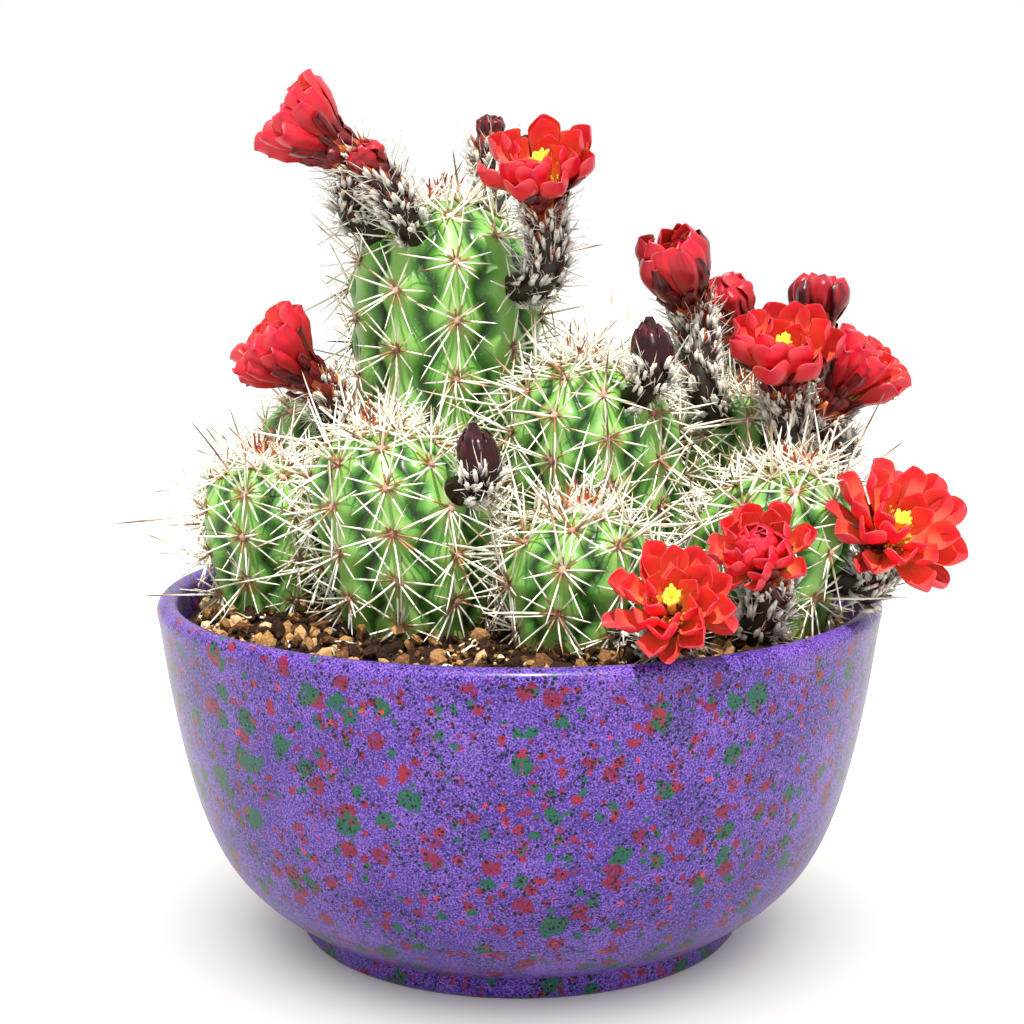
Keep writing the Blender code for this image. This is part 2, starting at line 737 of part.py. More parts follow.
def build_stigma(name, bloom, collection, material):
    # A short style and its head of rounded lobes, standing in the middle of the petals
    throat, aim, length = bloom[3], bloom[4], bloom[5]
    axis = direction(*aim)
    base = Vector(throat) + axis * (CUP_HEIGHT + 2 * GAP)
    side = axis.orthogonal().normalized()
    across = axis.cross(side)
    head = length * 0.42
    rings = [(0.0, 0.0013), (head - 0.0012, 0.0012), (head + 0.0012, 0.0027), (head + 0.0034, 0.0019)]

    def place(level, angle):
        if level == 0:
            return base
        if level > len(rings):
            return base + axis * (head + 0.0030)
        height, radius = rings[level - 1]
        lobed = radius * (1 + (0.24 * math.cos(5 * angle) if level > 2 else 0))
        return base + axis * height + (side * math.cos(angle) + across * math.sin(angle)) * lobed

    return object_from(shaped_sphere(10, len(rings) + 1, place), f"stigma_{name}", collection, material)


def build_bud(name, bud, collection, material):
    # A pointed bud on a short tube of its own, with the same scales
    root, normal, start, tip = bud_line(bud)
    path = tube_path(start, normal, tip, direction(*bud[3]))
    belly = bud[-1]
    radii = [TUBE_BASE_RADIUS, TUBE_BASE_RADIUS, belly * 0.92, belly, belly * 0.62, belly * 0.25]
    body = curve_tube(f"bud_{name}", path, radii, collection, material)
    return fuse(body, tube_scales(path, radii, collection))


# The whole plant and its bowl

def stand_on_origin(objects):
    # Moves everything so that the footprint's middle is at the origin
    corners = [obj.matrix_world @ vert.co for obj in objects for vert in obj.data.vertices]
    low = [min(corner[i] for corner in corners) for i in range(3)]
    high = [max(corner[i] for corner in corners) for i in range(3)]
    shift = Matrix.Translation((-(low[0] + high[0]) / 2, -(low[1] + high[1]) / 2, -low[2]))
    for obj in objects:
        obj.data.transform(shift)
    print("bowl axis at", [round(value, 5) for value in shift.translation])


def main():
    clear_scene()
    plant = new_collection("potted_hedgehog_cactus")
    glaze = new_material("Speckled violet glaze", (0.145, 0.080, 0.430), 0.22)
    soil = new_material("Gritty soil", (0.180, 0.105, 0.055), 0.95)
    skin = new_material("Cactus skin", (0.085, 0.270, 0.060), 0.38)
    tube = new_material("Woolly flower tube", (0.110, 0.060, 0.035), 0.75)
    red = new_material("Red petals", (0.720, 0.020, 0.015), 0.42)
    yellow = new_material("Yellow stigma", (0.800, 0.600, 0.050), 0.55)
    maroon = new_material("Maroon bud", (0.085, 0.010, 0.020), 0.40)
    build_bowl(plant, glaze)
    build_soil(plant, soil)
    build_stems(plant, skin)
    random.seed(BLOOM_SEED)
    for name, bloom in BLOOMS.items():
        build_tube(name, bloom, plant, tube)
        build_petals(name, bloom, plant, red)
        if bloom[-1]:
            build_stigma(name, bloom, plant, yellow)
    for name, bud in BUDS.items():
        build_bud(name, bud, plant, maroon)
    stand_on_origin(list(plant.objects))


main()
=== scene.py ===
# Looks of the potted hedgehog cactus. Metres, +Z up, and places are worked out from the bowl's axis, as in the part.
import math
import zlib

import bmesh
import bpy
import numpy as np
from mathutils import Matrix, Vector


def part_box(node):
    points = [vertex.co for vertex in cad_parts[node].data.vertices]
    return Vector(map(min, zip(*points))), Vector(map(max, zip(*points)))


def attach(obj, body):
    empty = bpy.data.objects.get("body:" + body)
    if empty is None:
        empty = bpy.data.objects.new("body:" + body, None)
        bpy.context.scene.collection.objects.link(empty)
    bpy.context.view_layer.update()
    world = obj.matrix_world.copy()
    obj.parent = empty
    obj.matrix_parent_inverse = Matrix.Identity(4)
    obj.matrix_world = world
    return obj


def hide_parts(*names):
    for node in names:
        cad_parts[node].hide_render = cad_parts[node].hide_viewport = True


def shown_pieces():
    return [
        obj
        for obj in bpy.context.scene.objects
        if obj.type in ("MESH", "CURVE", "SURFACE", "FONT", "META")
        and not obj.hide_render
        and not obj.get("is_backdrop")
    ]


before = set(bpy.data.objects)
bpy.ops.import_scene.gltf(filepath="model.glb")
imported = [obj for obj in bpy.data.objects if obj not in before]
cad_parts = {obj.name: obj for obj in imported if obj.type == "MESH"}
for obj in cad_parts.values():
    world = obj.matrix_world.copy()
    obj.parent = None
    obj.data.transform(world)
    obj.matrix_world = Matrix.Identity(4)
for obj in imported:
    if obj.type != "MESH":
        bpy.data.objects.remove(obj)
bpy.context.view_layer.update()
bowlLow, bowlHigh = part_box("bowl")
bowlAxis = np.array([(bowlLow.x + bowlHigh.x) / 2, (bowlLow.y + bowlHigh.y) / 2, 0.0])
mm = 0.001
fullTurn = math.tau
goldenAngle = math.radians(137.5)


# Small helpers

def chance(name):
    # A seeded source of random numbers of a piece's own
    return np.random.default_rng(zlib.crc32(name.encode()))


def fromHex(code):
    # An sRGB hex colour as linear red, green, blue and alpha
    parts = [int(code[i:i + 2], 16) / 255 for i in (1, 3, 5)]
    return [p / 12.92 if p <= 0.04045 else ((p + 0.055) / 1.055) ** 2.4 for p in parts] + [1.0]


def smoothStep(x):
    x = np.clip(x, 0.0, 1.0)
    return x * x * (3 - 2 * x)


def unit(vectors):
    return vectors / np.linalg.norm(vectors, axis=-1, keepdims=True)


def evenTurns(count):
    return np.arange(count) * fullTurn / count


def outward(angle):
    # Level unit vectors
    return np.stack([np.cos(angle), np.sin(angle), np.zeros_like(angle)], -1)


def turned(side, across, turn):
    # Vectors turned from side towards across
    return side * np.cos(turn)[..., None] + across * np.sin(turn)[..., None]


def direction(azimuth, elevation):
    a, e = np.radians(azimuth), np.radians(elevation)
    return np.stack(np.broadcast_arrays(np.cos(a) * np.cos(e), np.sin(a) * np.cos(e), np.sin(e)), -1)


def crossWays(ways):
    # Two unit vectors square to each way, which turn counterclockwise round it
    upright = np.abs(ways[..., 2:3]) < 0.9
    side = unit(np.cross(np.where(upright, [0.0, 0.0, 1.0], [1.0, 0.0, 0.0]), ways))
    return side, np.cross(ways, side)


class Parts:
    # Points, faces and values per point, gathered for one mesh

    def __init__(self, *valueNames):
        self.points, self.faces, self.total = [], [], 0
        self.values = {name: [] for name in valueNames}

    def add(self, points, faces, **values):
        points = np.asarray(points, float).reshape(-1, 3)
        for name, gathered in self.values.items():
            value = np.asarray(values.get(name, 0.0), float)
            gathered.append(np.full(len(points), float(value)) if value.ndim == 0 else value.reshape(-1))
        self.points.append(points)
        self.faces += [block + self.total for block in faces]
        self.total += len(points)


def loft(parts, rings, foot, tip, **values):
    # Closed bodies, one for each entry of rings: from the foot's point through the rings to the tip's point
    count, rows, columns = rings.shape[:3]
    grid = np.arange(rows * columns).reshape(rows, columns)
    after = np.roll(grid, -1, 1)
    quads = np.stack([grid[:-1], after[:-1], after[1:], grid[1:]], -1).reshape(-1, 4)
    footIndex, tipIndex = np.full(columns, grid.size), np.full(columns, grid.size + 1)
    ends = np.concatenate([
        np.stack([after[0], grid[0], footIndex], -1), np.stack([grid[-1], after[-1], tipIndex], -1),
    ])
    first = (np.arange(count) * (grid.size + 2))[:, None, None]
    given = {}
    for name, value in values.items():
        value = np.broadcast_to(value, (count, rows, columns))
        given[name] = np.concatenate([value.reshape(count, -1), value[:, 0, :1], value[:, -1, :1]], 1)
    points = np.concatenate([rings.reshape(count, -1, 3), foot[:, None], tip[:, None]], 1)
    parts.add(points, [(quads + first).reshape(-1, 4), (ends + first).reshape(-1, 3)], **given)


needle = {"lastRing": 0.9, "taper": 0.62, "taperPower": 2.4, "flatness": 0.30, "waves": (4, 9), "sunk": 0.5}


def growNeedles(
    parts, roots, ways, lengths, radii, bends=None, curl=0.0, tone=0.0, sides=4, rows=3, flat=None, turnRng=None,
):
    # Tapering spines, hairs or scales. A bend carries the tip sideways, a curl waves the line, and flat gives the
    # wide way of a flattened one.
    count = len(roots)
    lengths, radii = np.broadcast_to(lengths, count), np.broadcast_to(radii, count)
    shares = np.linspace(0.0, needle["lastRing"], rows)
    swell = 1 - needle["taper"] * shares ** needle["taperPower"]
    side, across = crossWays(ways)
    if flat is not None:
        side = unit(flat - ways * (flat * ways).sum(-1, keepdims=True))
        across = np.cross(ways, side) * needle["flatness"]
        swell = np.sin(np.clip(shares * 0.95 + 0.30, 0, 0.97) * math.pi)  # a leaf's outline, widest below its middle
    line = roots[:, None] + ways[:, None] * (lengths[:, None] * shares)[..., None]
    tips = roots + ways * lengths[:, None]
    if bends is not None:
        line = line + bends[:, None] * (shares ** 2)[:, None]
        tips = tips + bends
    if turnRng is not None:
        phase = turnRng.uniform(0, fullTurn, (count, 1)) + shares * turnRng.uniform(*needle["waves"], (count, 1))
        wave = side[:, None] * np.sin(phase)[..., None] + across[:, None] * np.cos(1.3 * phase)[..., None]
        line = line + wave * curl * np.sqrt(shares)[:, None]
        tips = tips + wave[:, -1] * curl
    around = turned(side[:, None, None], across[:, None, None], evenTurns(sides))
    rings = line[:, :, None] + around * (radii[:, None] * swell)[:, :, None, None]
    tone = np.broadcast_to(tone, count)[:, None, None]
    loft(parts, rings, roots - ways * radii[:, None] * needle["sunk"], tips, along=shares[:, None], tone=tone)


def growCushions(parts, places, ways, radius, height, r, tone=0.0, sides=8, rough=0.18):
    # Flattened lumpy cushions of felt or wool
    count = len(places)
    radius, height = np.broadcast_to(radius, count), np.broadcast_to(height, count)
    side, across = crossWays(ways)
    levels = np.radians([-50, -12, 24, 58])
    around = turned(side[:, None, None], across[:, None, None], evenTurns(sides))
    lumps = 1 + rough * r.uniform(-1, 1, (count, len(levels), sides))
    rings = places[:, None, None] + around * (radius[:, None, None] * np.cos(levels)[:, None] * lumps)[..., None]
    rings = rings + ways[:, None, None] * (height[:, None, None] * np.sin(levels)[:, None] * lumps)[..., None]
    tone = np.broadcast_to(tone, count)[:, None, None]
    lift = ways * height[:, None]
    loft(parts, rings, places - lift, places + lift, along=(np.sin(levels) * 0.5 + 0.5)[:, None], tone=tone)


def putInScene(name, data):
    thing = bpy.data.objects.new(name, data)
    bpy.context.scene.collection.objects.link(thing)
    return thing


def makePiece(name, parts, material, slot, *replaced, smooth=True):
    mesh = bpy.data.meshes.new(name)
    points = np.concatenate(parts.points) + bowlAxis
    corners = np.concatenate([block.ravel() for block in parts.faces])
    sizes = np.concatenate([np.full(len(block), block.shape[1]) for block in parts.faces])
    mesh.vertices.add(len(points))
    mesh.vertices.foreach_set("co", points.astype(np.float32).ravel())
    mesh.loops.add(len(corners))
    mesh.loops.foreach_set("vertex_index", corners.astype(np.int32))
    mesh.polygons.add(len(sizes))
    mesh.polygons.foreach_set("loop_start", np.concatenate([[0], np.cumsum(sizes)[:-1]]).astype(np.int32))
    mesh.update(calc_edges=True)
    mesh.polygons.foreach_set("use_smooth", np.full(len(sizes), smooth))
    for valueName, gathered in parts.values.items():
        layer = mesh.attributes.new(valueName, "FLOAT", "POINT")
        layer.data.foreach_set("value", np.concatenate(gathered).astype(np.float32))
    mesh.materials.append(material)
    piece = putInScene(name, mesh)
    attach(piece, "root")
    if replaced:
        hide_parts(*replaced)


# Materials

def addNode(tree, kind, links=None, out=0, stops=(), **settings):
    # Adds a shader node, sets it, fills or links its sockets, and gives back one of its outputs
    node = tree.nodes.new("ShaderNode" + kind)
    for key, value in settings.items():
        setattr(node, key, value)
    for key, value in (links or {}).items():
        if isinstance(value, bpy.types.NodeSocket):
            tree.links.new(value, node.inputs[key])
        else:
            node.inputs[key].default_value = value
    for i, (place, colour) in enumerate(stops):
        stop = node.color_ramp.elements[i] if i < 2 else node.color_ramp.elements.new(place)
        stop.position, stop.color = place, fromHex(colour)
    return node.outputs[out]


def newMaterial(name, **finish):
    # A Principled material. Its finish names the shader's sockets, with _ for a space.
    material = bpy.data.materials.new(name)
    material.use_nodes = True
    tree = material.node_tree
    shader = tree.nodes["Principled BSDF"]
    for socket, value in finish.items():
        shader.inputs[socket.replace("_", " ")].default_value = value
    return material, tree, shader.inputs


glaze = {
    "violet": "#4E3290", "paleViolet": "#7E5AB4", "deepViolet": "#2E1C70", "ink": "#070418",
    "crimson": "#7C0E30", "rust": "#8C182A", "green": "#055634", "orange": "#C03430",
    "stippleSpacing": 1.15 * mm, "stippleSize": 0.45, "fleckSpacing": 0.56 * mm, "fleckSize": 0.42,
    "blotchSpacing": 8.5 * mm, "spotSpacing": 3.8 * mm, "grainSize": 0.45 * mm, "cloudWidth": 22 * mm,
    "warpWidth": 2.6 * mm, "warpReach": 5 * mm, "tearWidth": 0.9 * mm, "patchWidth": 9 * mm, "relief": 1.2 * mm,
    "crowdFrom": -30 * mm, "crowdTo": -84 * mm, "crowdShare": 0.30,
    "lipBottom": 93.5 * mm, "lipTop": 96.5 * mm, "lipShare": 0.30,
}


def glazedStoneware():
    # Stoneware with a violet gloss glaze, stippled by sprayed dark stain and dabbed with crimson and green: glassy,
    # a little uneven, with every speck under the gloss
    material, tree, sockets = newMaterial(
        "Violet gloss glaze on stoneware", Roughness=0.36, IOR=1.45, Specular_IOR_Level=0.28, Coat_Weight=0.15,
        Coat_Roughness=0.14,
    )
    place = addNode(tree, "TexCoord", out="Object")
    cloud = addNode(tree, "TexNoise", {
        "Vector": place, "Scale": 1 / glaze["cloudWidth"], "Detail": 4.0, "Roughness": 0.6,
    })
    salt = addNode(tree, "TexNoise", {"Vector": place, "Scale": 1 / glaze["grainSize"], "Detail": 1.0})
    run = addNode(tree, "Math", {0: salt, 1: -0.5}, operation="ADD")
    drift = addNode(tree, "Math", {0: cloud, 1: 0.5, 2: 0.26}, operation="MULTIPLY_ADD")
    run = addNode(tree, "Math", {0: run, 1: 1.5, 2: drift}, operation="MULTIPLY_ADD")
    colour = addNode(tree, "ValToRGB", {0: run}, stops=[
        (0.30, glaze["deepViolet"]), (0.50, glaze["violet"]), (0.72, glaze["paleViolet"]),
    ])
    warp = addNode(tree, "TexNoise", {
        "Vector": place, "Scale": 1 / glaze["warpWidth"], "Detail": 3.0, "Roughness": 0.7,
    }, out=1)
    warp = addNode(tree, "VectorMath", {0: warp, 1: (0.5, 0.5, 0.5)}, operation="SUBTRACT")
    warp = addNode(tree, "VectorMath", {0: warp, "Scale": glaze["warpReach"]}, operation="SCALE")
    bent = addNode(tree, "VectorMath", {0: place, 1: warp}, operation="ADD")
    grain = addNode(tree, "TexNoise", {"Vector": place, "Scale": 1 / glaze["tearWidth"], "Detail": 2.0})
    height = addNode(tree, "SeparateXYZ", {0: place}, out="Z")
    # Dabs lie closest on one side, and small on the lip
    left = addNode(tree, "MapRange", {0: height.node.outputs["X"], 1: glaze["crowdFrom"], 2: glaze["crowdTo"]})
    below = addNode(tree, "MapRange", {
        0: height, 1: glaze["lipTop"], 2: glaze["lipBottom"], 3: glaze["lipShare"], 4: 1.0,
    })
    below = addNode(tree, "Math", {0: below, 1: left}, operation="MAXIMUM")
    crowd = addNode(tree, "Math", {0: left, 1: glaze["crowdShare"]}, operation="MULTIPLY")
    dabs = [  # colour, spacing, offset, share of cells with a dab, least and greatest size in the cell
        (glaze["crimson"], glaze["blotchSpacing"] * 0.85, (0.31, 0.17, 0.05), 0.66, (0.16, 0.42)),
        (glaze["green"], glaze["blotchSpacing"], (0.0, 0.0, 0.0), 0.66, (0.18, 0.46)),
        (glaze["crimson"], glaze["spotSpacing"] * 0.9, (0.23, 0.07, 0.37), 0.50, (0.14, 0.40)),
        (glaze["green"], glaze["spotSpacing"], (0.11, 0.43, 0.21), 0.42, (0.14, 0.40)),
        (glaze["rust"], glaze["spotSpacing"] * 1.25, (0.05, 0.29, 0.13), 0.52, (0.14, 0.36)),
        (glaze["orange"], glaze["spotSpacing"] * 1.1, (0.17, 0.03, 0.43), 0.30, (0.08, 0.24)),
    ]
    dabbed = 0.0
    for tint, spacing, offset, share, (least, greatest) in dabs:
        moved = addNode(tree, "VectorMath", {0: bent, 1: offset}, operation="ADD")
        cells = addNode(tree, "TexVoronoi", {"Vector": moved, "Scale": 1 / spacing}, out="Distance")
        drawn = addNode(tree, "SeparateColor", {0: cells.node.outputs["Color"]}, out="Red")
        reach = addNode(tree, "MapRange", {0: drawn, 1: 0.0, 2: share, 3: greatest, 4: least})
        reach = addNode(tree, "Math", {0: reach, 1: below}, operation="MULTIPLY")
        limit = addNode(tree, "Math", {0: crowd, 1: share}, operation="ADD")
        chosen = addNode(tree, "Math", {0: drawn, 1: limit}, operation="LESS_THAN")
        near = addNode(tree, "Math", {0: reach, 1: cells}, operation="SUBTRACT")
        edge = addNode(tree, "MapRange", {0: near, 1: 0.0, 2: 0.035})
        torn = addNode(tree, "MapRange", {0: grain, 1: 0.36, 2: 0.44, 3: 0.35, 4: 1.0})
        mask = edge
        for factor in (chosen, torn, 0.96):
            mask = addNode(tree, "Math", {0: mask, 1: factor}, operation="MULTIPLY")
        dabbed = addNode(tree, "Math", {0: mask, 1: dabbed}, operation="MAXIMUM")
        colour = addNode(tree, "Mix", {0: mask, 6: colour, 7: fromHex(tint)}, out=2, data_type="RGBA")
    patches = addNode(tree, "TexNoise", {"Vector": place, "Scale": 1 / glaze["patchWidth"], "Detail": 2.0})
    for spacing, offset, size in (
        (glaze["stippleSpacing"], 0.0, glaze["stippleSize"]), (glaze["fleckSpacing"], 0.4, glaze["fleckSize"]),
    ):
        moved = addNode(tree, "VectorMath", {0: place, 1: (offset,) * 3}, operation="ADD")
        dots = addNode(tree, "TexVoronoi", {"Vector": moved, "Scale": 1 / spacing}, out="Distance")
        drawn = addNode(tree, "SeparateColor", {0: dots.node.outputs["Color"]}, out="Green")
        reach = addNode(tree, "Math", {0: drawn, 1: patches}, operation="MULTIPLY")
        reach = addNode(tree, "Math", {0: dabbed, 1: 0.10, 2: reach}, operation="MULTIPLY_ADD")  # more dots on dabs
        reach = addNode(tree, "MapRange", {0: reach, 1: 0.10, 2: 0.48, 3: 0.0, 4: size})
        near = addNode(tree, "Math", {0: reach, 1: dots}, operation="SUBTRACT")
        mask = addNode(tree, "MapRange", {0: near, 1: 0.0, 2: 0.06, 3: 0.0, 4: 0.97})
        colour = addNode(tree, "Mix", {0: mask, 6: colour, 7: fromHex(glaze["ink"])}, out=2, data_type="RGBA")
    tree.links.new(colour, sockets["Base Color"])
    bump = addNode(tree, "Bump", {"Height": cloud, "Strength": 0.10, "Distance": glaze["relief"]})
    tree.links.new(bump, sockets["Normal"])
    return material


def soilMaterial(name, colours, grainWidth):
    # Fired-clay grit, pumice and dark compost: dry, open-pored and without gloss
    material, tree, sockets = newMaterial(name, Roughness=0.92, Specular_IOR_Level=0.25)
    place = addNode(tree, "TexCoord", out="Object")
    tone = addNode(tree, "Attribute", out="Fac", attribute_name="tone")
    pores = addNode(tree, "TexNoise", {"Vector": place, "Scale": 1 / grainWidth, "Detail": 5.0, "Roughness": 0.65})
    mixed = addNode(tree, "Math", {0: pores, 1: -0.5}, operation="ADD")
    mixed = addNode(tree, "Math", {0: mixed, 1: 0.55, 2: tone}, operation="MULTIPLY_ADD")
    colour = addNode(tree, "ValToRGB", {0: mixed}, stops=colours)
    tree.links.new(colour, sockets["Base Color"])
    bump = addNode(tree, "Bump", {"Height": pores, "Strength": 0.55, "Distance": 0.6 * mm})
    tree.links.new(bump, sockets["Normal"])
    return material


skin = {
    "cloudWidth": 7 * mm, "dotSpacing": 1.1 * mm, "relief": 0.8 * mm, "halo": "#A9C46A", "old": "#8A7A48",
    "dots": "#B8D88A",
}


def cactusSkin():
    # Living cactus skin: a waxy cuticle over green flesh, with painted highlight on the ribs, painted shade in the
    # furrows, and paler round the cushions
    material, tree, sockets = newMaterial(
        "Waxy cactus skin", Roughness=0.36, IOR=1.45, Coat_Weight=0.12, Coat_Roughness=0.20,
    )
    place = addNode(tree, "TexCoord", out="Object")
    crest, near, age = (
        addNode(tree, "Attribute", out="Fac", attribute_name=name) for name in ("crest", "near", "age")
    )
    cloud = addNode(tree, "TexNoise", {
        "Vector": place, "Scale": 1 / skin["cloudWidth"], "Detail": 4.0, "Roughness": 0.6,
    })
    # Painted light: the colour runs from painted shade in the furrows to painted highlight on the crests
    lit = addNode(tree, "Math", {0: cloud, 1: -0.5}, operation="ADD")
    lit = addNode(tree, "Math", {0: lit, 1: 0.55, 2: crest}, operation="MULTIPLY_ADD")
    colour = addNode(tree, "ValToRGB", {0: lit}, stops=[
        (0.05, "#183A0C"), (0.26, "#32681C"), (0.60, "#4A8430"), (1.0, "#76AA4E"),
    ])
    halo = addNode(tree, "Math", {0: near, 1: 0.62}, operation="MULTIPLY")
    colour = addNode(tree, "Mix", {0: halo, 6: colour, 7: fromHex(skin["halo"])}, out=2, data_type="RGBA")
    old = addNode(tree, "Math", {0: cloud, 1: age}, operation="MULTIPLY")
    old = addNode(tree, "MapRange", {0: old, 1: 0.25, 2: 0.55, 3: 0.0, 4: 0.85})  # corky near the soil
    colour = addNode(tree, "Mix", {0: old, 6: colour, 7: fromHex(skin["old"])}, out=2, data_type="RGBA")
    dots = addNode(tree, "TexVoronoi", {"Vector": place, "Scale": 1 / skin["dotSpacing"]}, out="Distance")
    pale = addNode(tree, "MapRange", {0: dots, 1: 0.22, 2: 0.10, 3: 0.0, 4: 0.20})
    colour = addNode(tree, "Mix", {0: pale, 6: colour, 7: fromHex(skin["dots"])}, out=2, data_type="RGBA")
    tree.links.new(colour, sockets["Base Color"])
    bump = addNode(tree, "Bump", {"Height": cloud, "Strength": 0.25, "Distance": skin["relief"]})
    tree.links.new(bump, sockets["Normal"])
    return material


def bladeMaterial(name, stops, roughness, **finish):
    # A thin plant part whose colour runs along it, from its root to its tip, with each one's own tone
    material, tree, sockets = newMaterial(name, Roughness=roughness, IOR=1.45, **finish)
    along = addNode(tree, "Attribute", out="Fac", attribute_name="along")
    tone = addNode(tree, "Attribute", out="Fac", attribute_name="tone")
    run = addNode(tree, "Math", {0: tone, 1: 1.0, 2: along}, operation="MULTIPLY_ADD")
    colour = addNode(tree, "ValToRGB", {0: run}, stops=stops)
    tree.links.new(colour, sockets["Base Color"])
    return material


# The rim colour is a painted pinkish highlight along the petals' edges
silk = {"rim": "#FF8C80", "dark": "#2C040C", "glowDepth": 1.6 * mm, "relief": 0.5 * mm, "veins": (3.5, 1.2, 23.0)}


def petalMaterial():
    # Silky petals: thin, moist and a little see-through, so light glows through them, redder behind
    material, tree, sockets = newMaterial(
        "Silky red petal", Roughness=0.34, IOR=1.40, Subsurface_Weight=0.12, Subsurface_Scale=silk["glowDepth"],
        Subsurface_Radius=(1.0, 0.30, 0.15), Sheen_Weight=0.02, Sheen_Roughness=0.35,
    )
    along, across, inside, tone, dark = (
        addNode(tree, "Attribute", out="Fac", attribute_name=name)
        for name in ("along", "across", "inside", "tone", "dark")
    )
    streaks = addNode(tree, "CombineXYZ", {0: across, 1: along, 2: tone})
    streaks = addNode(tree, "Mapping", {"Vector": streaks, "Scale": silk["veins"]})
    veins = addNode(tree, "TexNoise", {"Vector": streaks, "Scale": 1.0, "Detail": 3.0, "Roughness": 0.55})
    run = addNode(tree, "Math", {0: veins, 1: -0.5}, operation="ADD")
    run = addNode(tree, "Math", {0: run, 1: 0.35, 2: along}, operation="MULTIPLY_ADD")
    inner = addNode(tree, "ValToRGB", {0: run}, stops=[
        (0.0, "#FFDC84"), (0.24, "#FFAC58"), (0.46, "#FF6C48"), (0.75, "#FF5046"), (1.0, "#FF485C"),
    ])
    outer = addNode(tree, "ValToRGB", {0: run}, stops=[
        (0.0, "#7A2C10"), (0.20, "#8A0C14"), (0.50, "#B80A1C"), (0.90, "#D21A30"), (1.0, "#C0183C"),
    ])
    colour = addNode(tree, "Mix", {0: inside, 6: outer, 7: inner}, out=2, data_type="RGBA")
    # Painted highlight: the petals' edges are lightened towards pale pink
    rim = addNode(tree, "Math", {0: across}, operation="ABSOLUTE")
    rim = addNode(tree, "MapRange", {0: rim, 1: 0.45, 2: 1.0, 3: 0.0, 4: 0.10})
    colour = addNode(tree, "Mix", {0: rim, 6: colour, 7: fromHex(silk["rim"])}, out=2, data_type="RGBA")
    shade = addNode(tree, "MapRange", {0: veins, 1: 0.25, 2: 0.70})
    shade = addNode(tree, "Math", {0: dark, 1: shade}, operation="MULTIPLY")
    shade = addNode(tree, "Math", {0: dark, 1: 0.45, 2: shade}, operation="MULTIPLY_ADD", use_clamp=True)
    colour = addNode(tree, "Mix", {0: shade, 6: colour, 7: fromHex(silk["dark"])}, out=2, data_type="RGBA")
    tree.links.new(colour, sockets["Base Color"])
    bump = addNode(tree, "Bump", {"Height": veins, "Strength": 0.30, "Distance": silk["relief"]})
    tree.links.new(bump, sockets["Normal"])
    return material


glazeFinish = glazedStoneware()
soilFinish = soilMaterial("Dark potting compost", [
    (0.20, "#120A06"), (0.45, "#2C1A0E"), (0.65, "#5A3C20"), (0.90, "#A07C4C"),
], 2.2 * mm)
gritFinish = soilMaterial("Fired clay grit", [
    (0.10, "#24150B"), (0.30, "#6A4626"), (0.55, "#B68C5A"), (0.90, "#DEC79C"),
], 0.9 * mm)
skinFinish = cactusSkin()
# Dry hardened spines: smooth and horny, ivory with brown tips on some
spineFinish = bladeMaterial("Ivory cactus spine", [
    (0.0, "#A87C58"), (0.06, "#F2EEDC"), (0.62, "#FAF7EC"), (0.84, "#CDB08C"), (1.0, "#6E5646"),
], 0.42)
# Young spines at the apex: still soft and red
youngFinish = bladeMaterial("Young red spine", [
    (0.0, "#E4B89C"), (0.30, "#D07850"), (0.60, "#A83E22"), (1.0, "#5A2214"),
], 0.45)
# Short matted hairs, brown with age and pale when fresh
feltFinish = bladeMaterial("Brown areole felt", [
    (0.0, "#5E3328"), (0.45, "#8C5A46"), (0.75, "#C8A890"), (1.0, "#EDE4D6"),
], 0.95, Sheen_Weight=0.5, Sheen_Roughness=0.5)
# Soft loose hairs with painted shade that darkens them towards their roots and the tufts' undersides, and the tan
# bristles among them
woolFinish = bladeMaterial("White plant wool", [
    (0.0, "#6E665A"), (0.12, "#9A9488"), (0.60, "#DCD9D2"), (0.75, "#ECEAE4"), (0.90, "#D0BC9C"), (1.0, "#7C5840"),
], 0.9, Sheen_Weight=0.5, Sheen_Roughness=0.5)
# Fleshy pointed scales, from dark olive to a dry red brown tip
scaleFinish = bladeMaterial("Dark flower tube scale", [
    (0.0, "#14140C"), (0.30, "#2A1812"), (0.58, "#4A1218"), (0.80, "#8A2C18"), (1.0, "#B4581E"),
], 0.45)
petalFinish = petalMaterial()
# Soft pollen and papillae, without gloss
heartFinish = bladeMaterial("Cream stamens and velvety yellow stigma", [
    (0.0, "#F09A50"), (0.25, "#F4C4A0"), (0.48, "#F6E2C4"), (0.66, "#E2C430"), (1.0, "#EEE040"),
], 0.65, Sheen_Weight=0.3, Sheen_Roughness=0.4)
# Firm moist sepals, wrapped tight and shiny
budFinish = bladeMaterial("Maroon bud sepal", [
    (0.0, "#1A0A08"), (0.35, "#2E0A12"), (0.75, "#1E060C"), (1.0, "#4A1222"),
], 0.25, Specular_IOR_Level=0.30)
print("materials made")


# Bowl

bowl = {
    "rimRadius": 102.5 * mm, "height": 98 * mm, "wall": 6 * mm, "sides": 192,
    "outside": [
        (101.5, 89.0), (99.3, 73.5), (95.7, 54.5), (91.0, 37.5), (85.0, 24.5), (77.2, 15.2), (67.4, 7.6),
    ],
    "foot": [(64.2, 6.9), (63.5, 6.2), (63.5, 1.2), (62.7, 0.2), (61.5, 0.0), (53.6, 0.0), (52.4, 0.5), (51.0, 3.0)],
    "drain": [(7.0, 3.0), (6.0, 4.0), (6.0, 9.5), (7.0, 10.5)],
    "floorRadius": 55 * mm, "floorHeight": 10.5 * mm, "floorRise": 1.5 * mm,
}


